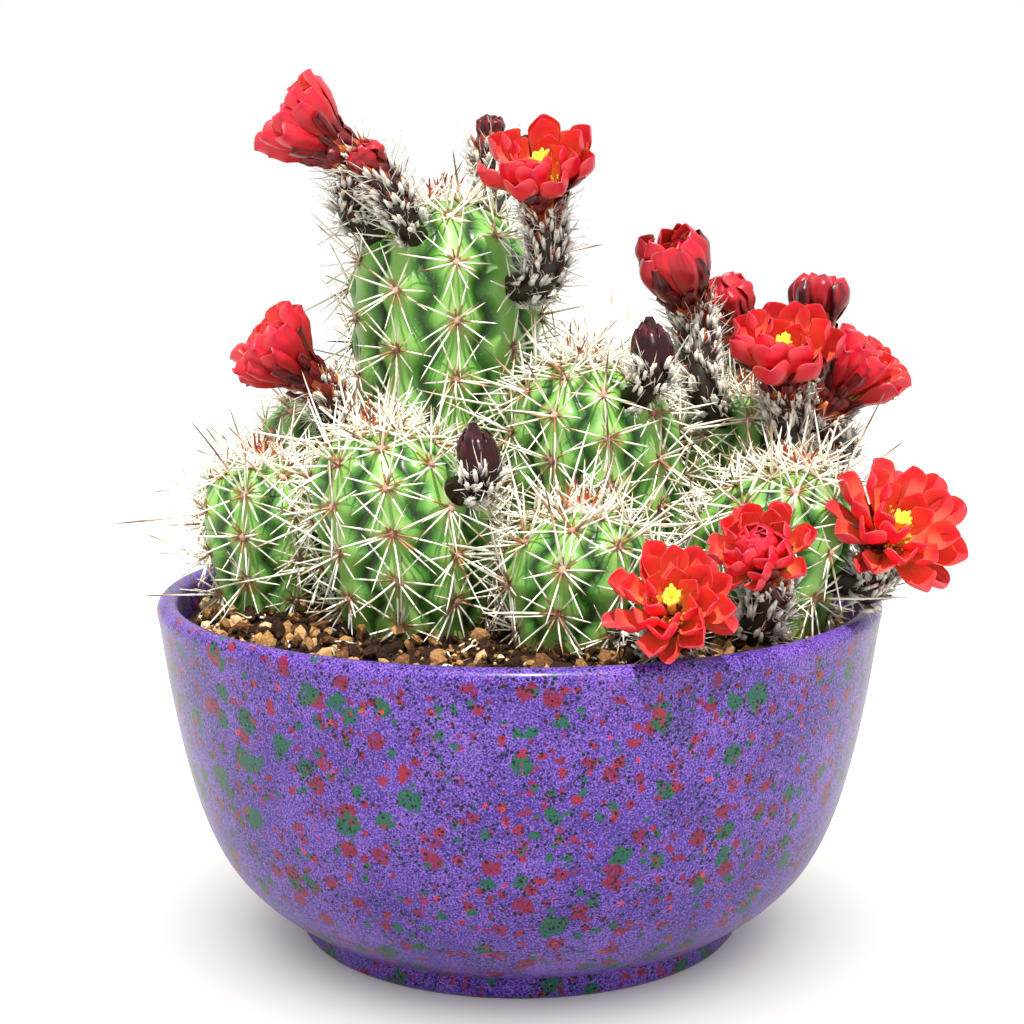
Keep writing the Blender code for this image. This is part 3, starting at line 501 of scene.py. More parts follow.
def smoothLine(points, step):
    # A smooth curve through the points, in short steps
    points = np.asarray(points, float)
    padded = np.concatenate([[2 * points[0] - points[1]], points, [2 * points[-1] - points[-2]]])
    line = []
    for a, b, c, d in zip(padded, padded[1:], padded[2:], padded[3:]):
        count = max(1, round(np.linalg.norm(c - b) / step))
        t = (np.arange(count) / count)[:, None]
        curve = (2 * a - 5 * b + 4 * c - d) * t ** 2 + (3 * b - a - 3 * c + d) * t ** 3
        line.append(0.5 * (2 * b + (c - a) * t + curve))
    return np.concatenate(line + [points[-1:]])


def insideLine(gap):
    # Radius and height up the bowl's inside, this far off the wall
    outside = np.array(bowl["outside"][1::2][::-1]) * mm
    return [(r - bowl["wall"] - gap, z + bowl["floorRise"]) for r, z in outside]


def bowlProfile():
    # Radius and height round the whole section: over the lip, down the outside, round the foot and up the inside
    half = bowl["wall"] / 2
    arc = np.radians(np.linspace(180, 0, 13))
    lip = np.stack([np.cos(arc), np.sin(arc)], -1) * half + [bowl["rimRadius"] - half, bowl["height"] - half]
    outside = smoothLine([lip[-1]] + [(r * mm, z * mm) for r, z in bowl["outside"]], 2 * mm)[1:]
    foot = np.array(bowl["foot"] + bowl["drain"]) * mm
    inside = [(bowl["floorRadius"], bowl["floorHeight"])] + insideLine(0.4 * mm) + [tuple(lip[0])]
    return np.concatenate([lip, outside, foot, smoothLine(inside, 4 * mm)[:-1]])


def buildBowl():
    profile = bowlProfile()
    rings = outward(evenTurns(bowl["sides"])) * profile[:, :1, None] + [0, 0, 1] * profile[:, 1:, None]
    grid = np.arange(rings.shape[0] * rings.shape[1]).reshape(rings.shape[:2])
    below, after = np.roll(grid, -1, 0), np.roll(grid, -1, 1)
    quads = np.stack([grid, below, np.roll(below, -1, 1), after], -1).reshape(-1, 4)
    parts = Parts()
    parts.add(rings, [quads])
    makePiece("bowlGlazed", parts, glazeFinish, "glaze", "bowl")


buildBowl()
print("bowl made")


# Stems: foot centre, apex, crest radius and rib count of each

soilTop = 89.5 * mm
stem = {
    "rootDepth": 18 * mm, "neck": 3.5 * mm, "footShare": 0.82, "swell": 20 * mm, "domeShare": 0.95,
    "furrowDepth": 0.085, "furrowPower": 3.0, "furrowFade": 10 * mm, "twist": math.radians(12), "bulge": 0.020,
    "zigzag": 0.13, "rowStep": 1.3 * mm, "columnsPerRib": 14, "areoleStep": 17 * mm, "firstAreole": 8 * mm,
    "lastAreole": 4.5 * mm, "haloRadius": 5.5 * mm, "oldHeight": 16 * mm, "domeFade": 16 * mm,
}
stems = {
    "tall": ((-0.020, 0.033), (-0.0235, 0.030, 0.2080), 0.0280, 10),
    "front_left": ((-0.028, -0.031), (-0.0380, -0.036, 0.1480), 0.0235, 9),
    "far_left": ((-0.069, -0.004), (-0.0730, -0.008, 0.1360), 0.0190, 8),
    "back_left": ((-0.064, 0.040), (-0.0620, 0.039, 0.1500), 0.0160, 7),
    "centre": ((0.023, 0.000), (0.0180, -0.003, 0.1635), 0.0250, 10),
    "front_centre": ((0.0155, -0.048), (0.0160, -0.055, 0.1290), 0.0208, 8),
    "right": ((0.064, 0.026), (0.0670, 0.022, 0.1530), 0.0220, 9),
    "front_right": ((0.065, -0.029), (0.0740, -0.032, 0.1370), 0.0220, 9),
    "back_right": ((0.028, 0.057), (0.0350, 0.058, 0.1460), 0.0220, 8),
    "back_small": ((-0.029, 0.074), (-0.0300, 0.076, 0.1200), 0.0120, 6),
}


def stemSizes(name):
    # Crest radius, height of the side and of the dome on it, and length up the side and over the dome
    apex, radius = stems[name][1:3]
    dome = radius * stem["domeShare"]
    side = apex[2] - soilTop - dome
    return radius, side, dome, side + radius * math.pi / 2


def areoleStep(name):
    # Cushions stand closer on the younger stems
    return stem["areoleStep"] * (0.74 + 0.26 * float(smoothStep((stems[name][2] - 24 * mm) / (4 * mm))))


def stemAxis(name, height):
    foot, apex = np.array(stems[name][0]), np.array(stems[name][1])
    height = np.asarray(height, float)
    lean = smoothStep(0.5 * np.maximum(0.0, height - stem["neck"]) / (apex[2] - soilTop)) * 2
    level = foot + (apex[:2] - foot) * lean[..., None]
    return np.concatenate([level, (soilTop + height)[..., None]], -1)


def stemRadius(name, height):
    radius, side, dome = stemSizes(name)[:3]
    swell = stem["footShare"] + (1 - stem["footShare"]) * smoothStep((height - stem["neck"]) / stem["swell"])
    rise = np.clip((height - side) / dome, 0.0, 1.0)
    return radius * swell * np.sqrt(1 - rise * rise)


def stemPoint(name, angle, height, share=1.0):
    return stemAxis(name, height) + outward(angle) * (stemRadius(name, height) * share)[..., None]


def stemNormal(name, angle, height):
    step = 1 * mm
    slope = (stemRadius(name, height + step) - stemRadius(name, height - step)) / (2 * step)
    return unit(outward(angle) - [0, 0, 1] * slope[..., None])


def climb(name, length):
    # The height that a length along the rib reaches: straight up the side, then over the dome
    radius, side, dome = stemSizes(name)[:3]
    return np.where(length < side, length, side + dome * np.sin(np.clip((length - side) / radius, 0, 1.55)))


def ribAngle(name, rib, height):
    top, ribs = stems[name][1][2], stems[name][3]
    return (rib + 0.5) * fullTurn / ribs + stem["twist"] * np.maximum(height, 0) / (top - soilTop)


def areolePlaces(name):
    # Rib, height and share of the way up of each areole. They stand closer towards the apex.
    total = stemSizes(name)[-1]
    places = []
    for rib in range(stems[name][3]):
        length = stem["firstAreole"] + (areoleStep(name) / 2 if rib % 2 else 0.0)
        while length < total - stem["lastAreole"]:
            places.append((rib, float(climb(name, length)), length / total))
            length += areoleStep(name) * (0.58 + 0.42 * float(smoothStep((total - length) / (30 * mm))))
    return np.array(places).T


def stemSkin(name):
    total = stemSizes(name)[-1]
    lengths = np.arange(0.0, total - 0.8 * mm, stem["rowStep"])
    lengths = np.concatenate([[-stem["rootDepth"], -6 * mm, -2 * mm], lengths])[:, None]
    height = climb(name, lengths)
    columns = stems[name][3] * stem["columnsPerRib"]
    across = (np.arange(columns) / stem["columnsPerRib"] - 0.5)[None, :]  # whole numbers are crests
    side = smoothStep((total - lengths) / stem["domeFade"])
    beat = np.cos(fullTurn * (lengths - stem["firstAreole"]) / areoleStep(name))
    beat = beat * side * smoothStep(lengths / (6 * mm))
    shifted = across - stem["zigzag"] * beat * np.sin(math.pi * across)
    furrow = (0.5 - 0.5 * np.cos(fullTurn * shifted)) ** stem["furrowPower"]
    depth = stem["furrowDepth"] * (1.15 * side + 0.35 * (1 - side))
    depth = depth * smoothStep((height - stem["neck"]) / stem["furrowFade"])
    share = 1 - depth * furrow + stem["bulge"] * beat * np.cos(math.pi * across) * (1 - furrow)
    rings = stemPoint(name, ribAngle(name, across, height), height, share)
    near = np.zeros_like(share)
    rib, areoleHeight = areolePlaces(name)[:2]
    for spot in stemPoint(name, ribAngle(name, rib, areoleHeight), areoleHeight):
        gone = np.linalg.norm((rings - spot) * [1, 1, 0.8], axis=-1)
        near = np.maximum(near, 1 - smoothStep(gone / stem["haloRadius"]))
    # The crest value carries the skin's painted highlight on the ribs and painted shade in the furrows
    parts = Parts("crest", "near", "age")
    loft(
        parts, rings[None], stemAxis(name, -stem["rootDepth"])[None], np.array(stems[name][1])[None],
        crest=1 - furrow, near=near, age=1 - smoothStep(height / stem["oldHeight"]),
    )
    makePiece(f"skin_{name}", parts, skinFinish, "cactus_skin", f"stem_{name}")


for name in stems:
    stemSkin(name)
print("stems made")


# Soil

soil = {
    "radius": 94.7 * mm, "mound": 3.6 * mm, "moundWidth": 20 * mm, "relief": 0.48 * mm, "floorGap": 0.3 * mm,
    "columns": 130, "rows": 40, "tone": 0.40, "grains": 2300, "grainSizes": (1.4 * mm, 6.0 * mm), "fibres": 90,
    "fibreLengths": (6 * mm, 16 * mm), "fibreRadii": (0.22 * mm, 0.45 * mm),
}


def soilHeight(x, y):
    inward = soil["radius"] - np.hypot(x, y)
    mound = soil["mound"] * smoothStep(inward / soil["moundWidth"])
    waves = np.sin(x * 410 + 1.3) * np.cos(y * 370 + 0.4) + 0.6 * np.sin(x * 930 + y * 780)
    return soilTop + mound + waves * soil["relief"] * smoothStep(inward / (6 * mm))


def onSoil(places, lift=0.0):
    return np.concatenate([places, (soilHeight(places[..., 0], places[..., 1]) + lift)[..., None]], -1)


def buildSoil():
    circle = outward(evenTurns(soil["columns"]))
    floor = bowl["floorHeight"] + soil["floorGap"]
    side = [(bowl["floorRadius"] - 1 * mm, floor)] + insideLine(1 * mm) + [(soil["radius"], soilTop)]
    rows = [circle * radius + [0, 0, z] for radius, z in side]
    rows += [onSoil(circle[:, :2] * radius) for radius in np.linspace(soil["radius"], 2 * mm, soil["rows"])[1:]]
    parts = Parts("tone")
    loft(parts, np.array(rows)[None], np.array([[0, 0, floor]]), onSoil(np.zeros((1, 2))), tone=soil["tone"])
    makePiece("soilBed", parts, soilFinish, "soil", "soil")


def freeSoil(r, count, margin, closeness):
    # Places on the soil that no stem stands on, more of them near the wall
    places = np.zeros((0, 2))
    while len(places) < count:
        angle, share = r.uniform(0, fullTurn, count), r.uniform(0.05, 1.0, count)
        tries = outward(angle)[:, :2] * ((soil["radius"] - margin) * share ** closeness)[:, None]
        free = np.ones(count, bool)
        for foot, apex, radius, ribs in stems.values():
            free &= np.hypot(*(tries - foot).T) > radius * stem["footShare"] - 1 * mm
        places = np.concatenate([places, tries[free]])
    return places[:count]


def buildGrit():
    # Angular grains, each a lumpy block cut on twenty sides, lying half sunk and on each other
    r = chance("grit")
    form = bmesh.new()
    bmesh.ops.create_icosphere(form, subdivisions=1, radius=1.0)
    base = np.array([vert.co[:] for vert in form.verts])
    faces = np.array([[vert.index for vert in face.verts] for face in form.faces])
    form.free()
    count = soil["grains"]
    least, greatest = soil["grainSizes"]
    sizes = least + (greatest - least) * r.uniform(0, 1, count) ** 2.2
    places = freeSoil(r, count, 3.0 * mm, 0.38)
    first = unit(r.normal(size=(count, 3)))
    second, third = crossWays(first)
    turn = np.stack([first, second, third], 1)
    shaped = base[None] * r.uniform(0.70, 1.12, (count, len(base), 1))
    shaped = shaped * r.uniform([1.0, 0.7, 0.5], [1.2, 1.0, 0.85], (count, 1, 3))  # longest, middle and short way
    points = np.einsum("nvk,nkj->nvj", shaped, turn) * (sizes / 2)[:, None, None]
    lift = sizes * r.uniform(-0.10, 0.42, count) + r.uniform(0, 1, count) ** 3 * 2 * mm
    points += onSoil(places, lift)[:, None]
    # Grains grow darker towards the middle among the stems: partly darker grit there and partly painted shade under
    # the stems
    inward = smoothStep((soil["radius"] - np.hypot(*places.T)) / (26 * mm))
    tone = np.clip(r.normal(0.58, 0.20, count) - 0.34 * inward, 0.05, 0.95)
    tone = np.where(r.uniform(size=count) < 0.18, 0.10, tone)  # some grains are dark
    index = (faces[None] + (np.arange(count) * len(base))[:, None, None]).reshape(-1, 3)
    parts = Parts("tone")
    parts.add(points, [index], tone=np.repeat(tone, len(base)))
    makePiece("grit", parts, gritFinish, "soil", smooth=False)


def buildFibres():
    # Dead roots and fallen spines that lie on the soil
    r = chance("fibres")
    count = soil["fibres"]
    roots = onSoil(freeSoil(r, count, 6 * mm, 0.45), 1.2 * mm)
    ways = direction(r.uniform(0, 360, count), r.uniform(-6, 14, count))
    lengths = r.uniform(*soil["fibreLengths"], count)
    ends = roots + ways * lengths[:, None]
    keep = np.hypot(ends[:, 0], ends[:, 1]) < soil["radius"] - 1 * mm
    parts = Parts("along", "tone")
    growNeedles(
        parts, roots[keep], ways[keep], lengths[keep], r.uniform(*soil["fibreRadii"], keep.sum()),
        curl=0.9 * mm, turnRng=r, rows=8, tone=r.uniform(0.0, 0.3, keep.sum()),
    )
    makePiece("fibres", parts, spineFinish, "soil")


buildSoil()
buildGrit()
buildFibres()
print("soil made")


# Blooms: stem, azimuth and height of the root, throat, facing azimuth and elevation, petal length and width, style

bloom = {
    "bossLength": 3.5 * mm, "baseRadius": 4.2 * mm, "mouthRadius": 5.4 * mm, "petalThickness": 0.55 * mm,
    "gap": 0.3 * mm, "clawReach": 4.3 * mm, "sepalReach": 4.8 * mm,
    # Height and radius round the cup that holds the petals
    "cup": [(-1.2, 5.0), (-0.4, 5.5), (1.2, 5.8), (2.6, 6.0), (3.6, 5.8), (3.9, 5.2), (2.6, 4.4)],
    # Dark sepals that clasp the neck: depth under the cup, length share and count
    "sepals": [(4.0 * mm, 0.34, 7), (1.4 * mm, 0.50, 8)],
}
blooms = {
    "tall_left": ("tall", -152, 0.1980, (-0.0500, 0.0080, 0.2210), (188, 33), 0.0210, 0.0105, "funnel"),
    "tall_right": ("tall", -42, 0.1830, (0.0065, 0.0010, 0.2090), (-97, 50), 0.0200, 0.0115, "cup"),
    "left": ("back_left", -65, 0.1400, (-0.0605, 0.0120, 0.1565), (196, 40), 0.0210, 0.0105, "funnel"),
    "right_high": ("right", -125, 0.1460, (0.0480, 0.0100, 0.1800), (-125, 56), 0.0220, 0.0110, "tulip"),
    "right_faded": ("right", 90, 0.1510, (0.0650, 0.0260, 0.1700), (170, 74), 0.0140, 0.0070, "faded"),
    "right_cup": ("right", -70, 0.1380, (0.0735, -0.0080, 0.1580), (-102, 60), 0.0200, 0.0120, "cup"),
    "right_back": ("right", 15, 0.1420, (0.0880, 0.0310, 0.1710), (20, 82), 0.0160, 0.0080, "closed"),
    "right_side": ("right", -30, 0.1340, (0.0890, 0.0010, 0.1510), (-20, 50), 0.0200, 0.0105, "funnel"),
    "front_crowded": ("front_right", -100, 0.0990, (0.0625, -0.0635, 0.1160), (-118, 46), 0.0160, 0.0095, "crowded"),
    "front_open": ("front_centre", -48, 0.0985, (0.0368, -0.0870, 0.1080), (-97, 35), 0.0152, 0.0095, "open"),
    "rim_open": ("front_right", -22, 0.1070, (0.0955, -0.0450, 0.1182), (-74, 40), 0.0190, 0.0110, "open"),
}
# Whorls of each style, from outside in: count, opening angle at the claw and at the tip, curl of the tip, length
# and width shares, cupping, ruffle, dark share
bloomStyles = {
    "open": [
        (5, 56, 88, 4, 0.84, 0.72, 0.30, 0.3, 0.40), (8, 54, 74, -16, 1.00, 0.98, 0.50, 0.4, 0.04),
        (8, 44, 58, -18, 0.96, 0.96, 0.54, 0.5, 0.0), (6, 30, 42, -16, 0.80, 0.86, 0.56, 0.6, 0.0),
    ],
    "cup": [
        (5, 54, 50, 20, 0.66, 0.50, 0.40, 0.4, 0.90), (7, 60, 46, -20, 1.00, 0.98, 0.46, 0.5, 0.08),
        (6, 52, 34, -20, 0.97, 0.98, 0.50, 0.5, 0.0), (5, 40, 24, -14, 0.76, 0.84, 0.50, 0.6, 0.0),
    ],
    "funnel": [
        (5, 30, 44, 24, 0.66, 0.60, 0.34, 0.4, 0.75), (8, 42, 36, 14, 0.82, 1.00, 0.64, 0.5, 0.18),
        (8, 37, 33, 4, 0.98, 1.06, 0.62, 0.5, 0.06), (6, 26, 18, -6, 0.90, 1.00, 0.62, 0.6, 0.0),
    ],
    "tulip": [
        (5, 62, -10, 10, 0.84, 0.74, 0.55, 0.3, 0.90), (5, 62, -14, 0, 1.00, 1.06, 0.58, 0.6, 0.45),
        (5, 54, -10, 0, 0.95, 1.02, 0.58, 0.6, 0.12), (5, 40, -8, 0, 0.76, 0.90, 0.55, 0.7, 0.0),
    ],
    "faded": [
        (5, 30, 8, -20, 0.95, 1.05, 0.70, 2.2, 0.30), (5, 22, -4, 20, 1.05, 1.00, 0.70, 2.4, 0.20),
        (4, 12, -8, 10, 0.95, 0.90, 0.60, 2.0, 0.15),
    ],
    "closed": [
        (5, 62, -20, 8, 0.84, 0.90, 0.60, 0.4, 0.85), (5, 60, -22, 4, 1.00, 1.25, 0.65, 0.9, 0.50),
        (5, 48, -20, 0, 0.94, 1.10, 0.60, 1.0, 0.25),
    ],
    "crowded": [
        (7, 58, 80, -14, 0.78, 0.80, 0.50, 0.5, 0.06), (8, 52, 56, -22, 0.84, 0.86, 0.54, 0.6, 0.0),
        (8, 42, 36, -26, 0.80, 0.86, 0.56, 0.7, 0.0), (7, 30, 14, -26, 0.74, 0.84, 0.58, 0.8, 0.0),
        (6, 16, -6, -20, 0.64, 0.80, 0.60, 0.8, 0.0),
    ],
}
heartStyles = ("open", "cup", "funnel", "crowded")
# Buds: stem, azimuth and height of the root, axis azimuth and elevation, length and belly radius
buds = {
    "front_left": ("front_left", -40, 0.1325, (120, 82), 0.0195, 0.0050),
    "centre": ("centre", -52, 0.1540, (100, 84), 0.0215, 0.0052),
    "tall_back": ("tall", 45, 0.2030, (120, 84), 0.0260, 0.0058),
    "tall_withered": ("tall", -110, 0.1980, (-152, 56), 0.0260, 0.0042),
}
witheredBuds = {"tall_back": 0.92, "tall_withered": 0.40}  # the dark share of their petals
witheredWhorls = [(6, 24, -4, -24, 1.00, 1.00, 0.70, 2.4), (5, 8, -10, 20, 0.90, 0.90, 0.70, 2.2)]
budShape = {
    "outline": ([0.48, 0.66, 0.82, 0.93, 1.0], [0.98, 1.0, 0.84, 0.56, 0.20]), "neck": 0.30, "lean": (0.18, 0.82),
    "sepals": 11, "rows": 16, "columns": 12, "starts": (0.26, 0.50), "halfTurn": 0.62, "edge": 0.22 * mm,
    "ridge": 0.35 * mm,
}


def rootOf(name, azimuth, height):
    angle, rise = np.array(math.radians(azimuth)), np.array(height - soilTop)
    return stemPoint(name, angle, rise), stemNormal(name, angle, rise)


def budTip(start, normal, axis, length):
    along, upward = budShape["lean"]
    return start + (normal * along + axis * upward) * length


def tubeLine(root, normal, throat, axis, count=24):
    # From inside the stem out through the skin and over to the throat
    start = root + normal * (bloom["bossLength"] + bloom["gap"])
    straight = bloom["baseRadius"] / 2
    first, last = start + normal * straight, throat - axis * straight
    pull = np.linalg.norm(last - first) * 0.42
    a, b = first + normal * pull, last - axis * pull
    t = np.linspace(0, 1, count)[:, None]
    curve = first * (1 - t) ** 3 + a * 3 * t * (1 - t) ** 2 + b * 3 * t * t * (1 - t) + last * t ** 3
    return np.concatenate([[root - normal * 2.5 * mm], [root], [start], curve, [throat]])


def framesOf(line, normal, axis):
    # The way along the line and two ways across it, without a twist
    along = unit(np.gradient(line, axis=0))
    level = np.cross(normal, axis)
    level = level if np.linalg.norm(level) > 0.05 else crossWays(axis)[0]
    side = unit(level - along * (along @ level)[:, None])
    return along, side, np.cross(along, side)


def readLine(values, share):
    # Values between the stations of a line
    place = np.clip(share, 0, 1) * (len(values) - 1)
    low = np.minimum(place.astype(int), len(values) - 2)
    part = (place - low)[..., None]
    return values[low] * (1 - part) + values[low + 1] * part


cover = {
    "sides": 20, "ridges": 5, "ridgeDepth": 0.05, "sunk": 0.92, "tufts": 4, "tuftRadii": (0.38, 0.70),
    "tuftHeights": (1.3, 2.5), "bareTop": 0.40,
    # Wool and bristles: count, least and greatest length, radius, spread, curl and tone
    "hairs": [(6, 2.2, 4.8, 0.11, 0.55, 0.45, -0.22), (3, 4.5, 9.5, 0.17, 0.34, 0.0, 0.04)],
}


def coverTube(name, line, normal, axis, radii, sheath, fleece, first=0.06, last=0.99, spacing=0.78 * mm):
    # The tube's skin, its pointed scales in a spiral, and the wool and bristles that grow behind each of them
    r = chance("tube " + name)
    along, side, across = framesOf(line, normal, axis)
    turns = evenTurns(cover["sides"])
    ridges = 1 + cover["ridgeDepth"] * np.cos(cover["ridges"] * turns + np.linspace(0, 6, len(line))[:, None])
    rings = line[:, None] + turned(side[:, None], across[:, None], turns) * (radii[:, None] * ridges)[..., None]
    tone = 0.16 + 0.84 * np.linspace(0, 1, len(line)) ** 3
    loft(sheath, rings[None], line[None, 0], line[None, -1], along=0.0, tone=tone[:, None])
    length = np.linalg.norm(np.diff(line, axis=0), axis=1).sum()
    count = max(8, round(length * (last - first) / spacing))
    share = np.linspace(first, last, count) + r.uniform(-0.3, 0.3, count) / count * 0.6
    turn = np.arange(count) * goldenAngle + r.uniform(0, fullTurn)
    tangent = unit(readLine(along, share))
    out = unit(turned(readLine(side, share), readLine(across, share), turn))
    over = np.cross(out, tangent)
    roots = readLine(line, share) + out * readLine(radii[:, None], share) * cover["sunk"]
    lean = r.uniform(0.25, 0.60, (count, 1)) * (1.1 - 0.4 * share[:, None]) + 0.12
    scaleLengths = (4.0 + 3.0 * share + r.uniform(-0.9, 0.9, count)) * mm
    growNeedles(
        sheath, roots - tangent * 0.8 * mm, unit(tangent + out * lean), scaleLengths, (0.95 + 0.5 * share) * mm,
        bends=out * (r.uniform(-0.8, 1.4, (count, 1)) * mm),
        tone=0.02 + 0.62 * share ** 1.5 + r.uniform(-0.02, 0.12, count), sides=6, rows=6, flat=over,
    )
    tuftWays = unit(tangent + out * 0.45 + r.normal(size=(count, 3)) * 0.15)
    woolly = 1 - cover["bareTop"] * smoothStep((share - 0.80) / 0.20)
    where = np.repeat(np.arange(count), cover["tufts"])
    total = len(where)
    apart = tangent[where] * r.uniform(-0.6, 2.2, (total, 1))
    apart = apart + over[where] * r.uniform(-1.7, 1.7, (total, 1))
    growCushions(
        fleece, roots[where] + (apart + out[where] * r.uniform(1.1, 2.3, (total, 1))) * mm,
        unit(tuftWays[where] + r.normal(size=(total, 3)) * 0.18),
        r.uniform(*cover["tuftRadii"], total) * mm * woolly[where],
        r.uniform(*cover["tuftHeights"], total) * mm * woolly[where], r,
        tone=r.uniform(-0.15, 0.0, total), sides=6, rough=0.32,
    )
    for each, least, greatest, thick, spread, curl, tone in cover["hairs"]:
        where = np.repeat(np.arange(count), each)
        scatter = r.normal(size=(len(where), 3))
        ways = unit(out[where] * 0.75 + tangent[where] * 0.55 + scatter * spread)
        inward = np.maximum(0.0, 0.25 - (ways * out[where]).sum(-1, keepdims=True))
        lengths = r.uniform(least, greatest, len(where)) * mm * (0.65 + 0.35 * woolly[where])
        growNeedles(
            fleece, roots[where] + (out[where] * 0.6 + scatter * 0.5) * mm, unit(ways + out[where] * inward),
            lengths, thick * mm, curl=curl * mm, tone=tone + r.uniform(-0.06, 0.06, len(where)), sides=3,
            rows=5 if curl else 3, turnRng=r if curl else None,
        )


petal = {
    "rows": 14, "columns": 16, "imbricate": math.radians(15), "crease": 0.05, "creaseWidth": 0.16,
    "outlinePower": 3.4, "outlineWidest": 0.80, "spoon": 0.34, "ruffle": 0.40 * mm,
}


def growPetals(parts, base, axis, whorl, first, length, width, r, reach):
    count, claw, tip, curl, longShare, wideShare, cupping, ruffle, dark = whorl
    turns = first + (np.arange(count) + r.uniform(-0.16, 0.16, count)) * fullTurn / count
    out = turned(*crossWays(axis), turns)
    over = np.cross(axis, out)[:, None]
    share = 1 - (1 - np.linspace(0.0, 1.0, petal["rows"] + 2)) ** 1.75
    lean = r.uniform(-6, 6, (count, 1))
    bend = np.radians(claw + lean + (tip - claw) * share ** 0.8 + curl * smoothStep((share - 0.62) / 0.38))
    steps = np.diff(share) * (length * longShare * r.uniform(0.93, 1.03, (count, 1)))
    middle = (bend[:, 1:] + bend[:, :-1]) / 2
    start = np.zeros((count, 1))
    radial = np.concatenate([start, np.cumsum(np.sin(middle) * steps, 1)], 1)
    axial = np.concatenate([start, np.cumsum(np.cos(middle) * steps, 1)], 1)
    line = base + out[:, None] * (reach + radial)[..., None] + axis * axial[..., None]
    inward = turned(-out[:, None], axis, bend)
    roll = petal["imbricate"] * r.uniform(0.7, 1.3, (count, 1))
    wide, thick = turned(over, inward, roll), turned(inward, -over, roll)
    half = (share ** 0.9 + 0.10) * np.sqrt(np.maximum(0.0, 1 - share ** petal["outlinePower"]))
    half = half / petal["outlineWidest"] * width * wideShare * r.uniform(0.92, 1.06, (count, 1)) / 2
    theta = evenTurns(petal["columns"])
    edge, face = np.cos(theta), np.sin(theta)
    rows = slice(1, petal["rows"] + 1)
    h, up = half[:, rows, None], share[rows, None]
    phase = r.uniform(0, fullTurn, (count, 1, 1))
    wave = np.sin(9 * up + phase + 2.2 * edge) * np.abs(edge) ** 1.5 + 0.4 * np.sin(17 * up + 2 * phase)
    spoon = width * petal["spoon"] * cupping  # the tip turns in
    crease = petal["crease"] * np.exp(-(edge / petal["creaseWidth"]) ** 2)
    lift = h * (edge ** 2 * cupping * 2 * up ** 0.6 - crease) + spoon * smoothStep((up - 0.70) / 0.30)
    lift = lift + wave * ruffle * petal["ruffle"] * smoothStep(up * 1.6)
    lift = lift + face * bloom["petalThickness"] / 2 * (1.25 - 0.6 * up)
    narrow = 1 - 0.10 * cupping * edge ** 2
    rings = line[:, rows, None] + wide[:, rows, None] * (edge * h * narrow)[..., None]
    rings = rings + thick[:, rows, None] * lift[..., None]
    loft(
        parts, rings, line[:, 0] - axis * 0.5 * mm, line[:, -1] + thick[:, -1] * spoon, along=up, across=edge,
        inside=(face > 0.05) * 1.0, tone=r.uniform(0, 1, count)[:, None, None], dark=dark,
    )


def buildBloom(name):
    stemName, azimuth, height, throat, facing, length, width, style = blooms[name]
    r = chance("bloom " + name)
    throat, axis = np.array(throat), direction(*facing)
    root, normal = rootOf(stemName, azimuth, height)
    line = tubeLine(root, normal, throat, axis)
    radii = np.linspace(bloom["baseRadius"], bloom["mouthRadius"], len(line))
    sheath, fleece = Parts("along", "tone"), Parts("along", "tone")
    coverTube(name, line, normal, axis, radii, sheath, fleece)
    makePiece(f"sheath_{name}", sheath, scaleFinish, "flower_tube", f"tube_{name}")
    makePiece(f"fleece_{name}", fleece, woolFinish, "flower_tube")
    parts = Parts("along", "across", "inside", "tone", "dark")
    base = throat + axis * bloom["gap"]
    cup = np.array(bloom["cup"]) * mm
    rings = base + axis * cup[:, :1, None] + turned(*crossWays(axis), evenTurns(24)) * cup[:, 1:, None]
    loft(
        parts, rings[None], base[None] - axis * 1.5 * mm, (base + axis * 2.2 * mm)[None], along=0.10, inside=0.0,
        dark=0.30, tone=0.5,
    )
    first = r.uniform(0, fullTurn)
    claw = bloomStyles[style][1][1] * 0.9
    for down, share, count in bloom["sepals"]:
        whorl = (count, 12, claw, 0, share, 0.42, 0.30, 0.3, 0.85)
        growPetals(parts, base - axis * down, axis, whorl, first, length, width, r, bloom["sepalReach"])
        first += math.pi / count
    for level, whorl in enumerate(bloomStyles[style]):
        start, reach = base + axis * (1.2 + 0.35 * level) * mm, bloom["clawReach"] - 0.75 * level * mm
        growPetals(parts, start, axis, whorl, first, length, width, r, reach)
        first += math.pi / whorl[0] + r.uniform(-0.15, 0.15)
    makePiece(f"corolla_{name}", parts, petalFinish, "petals", f"petals_{name}")


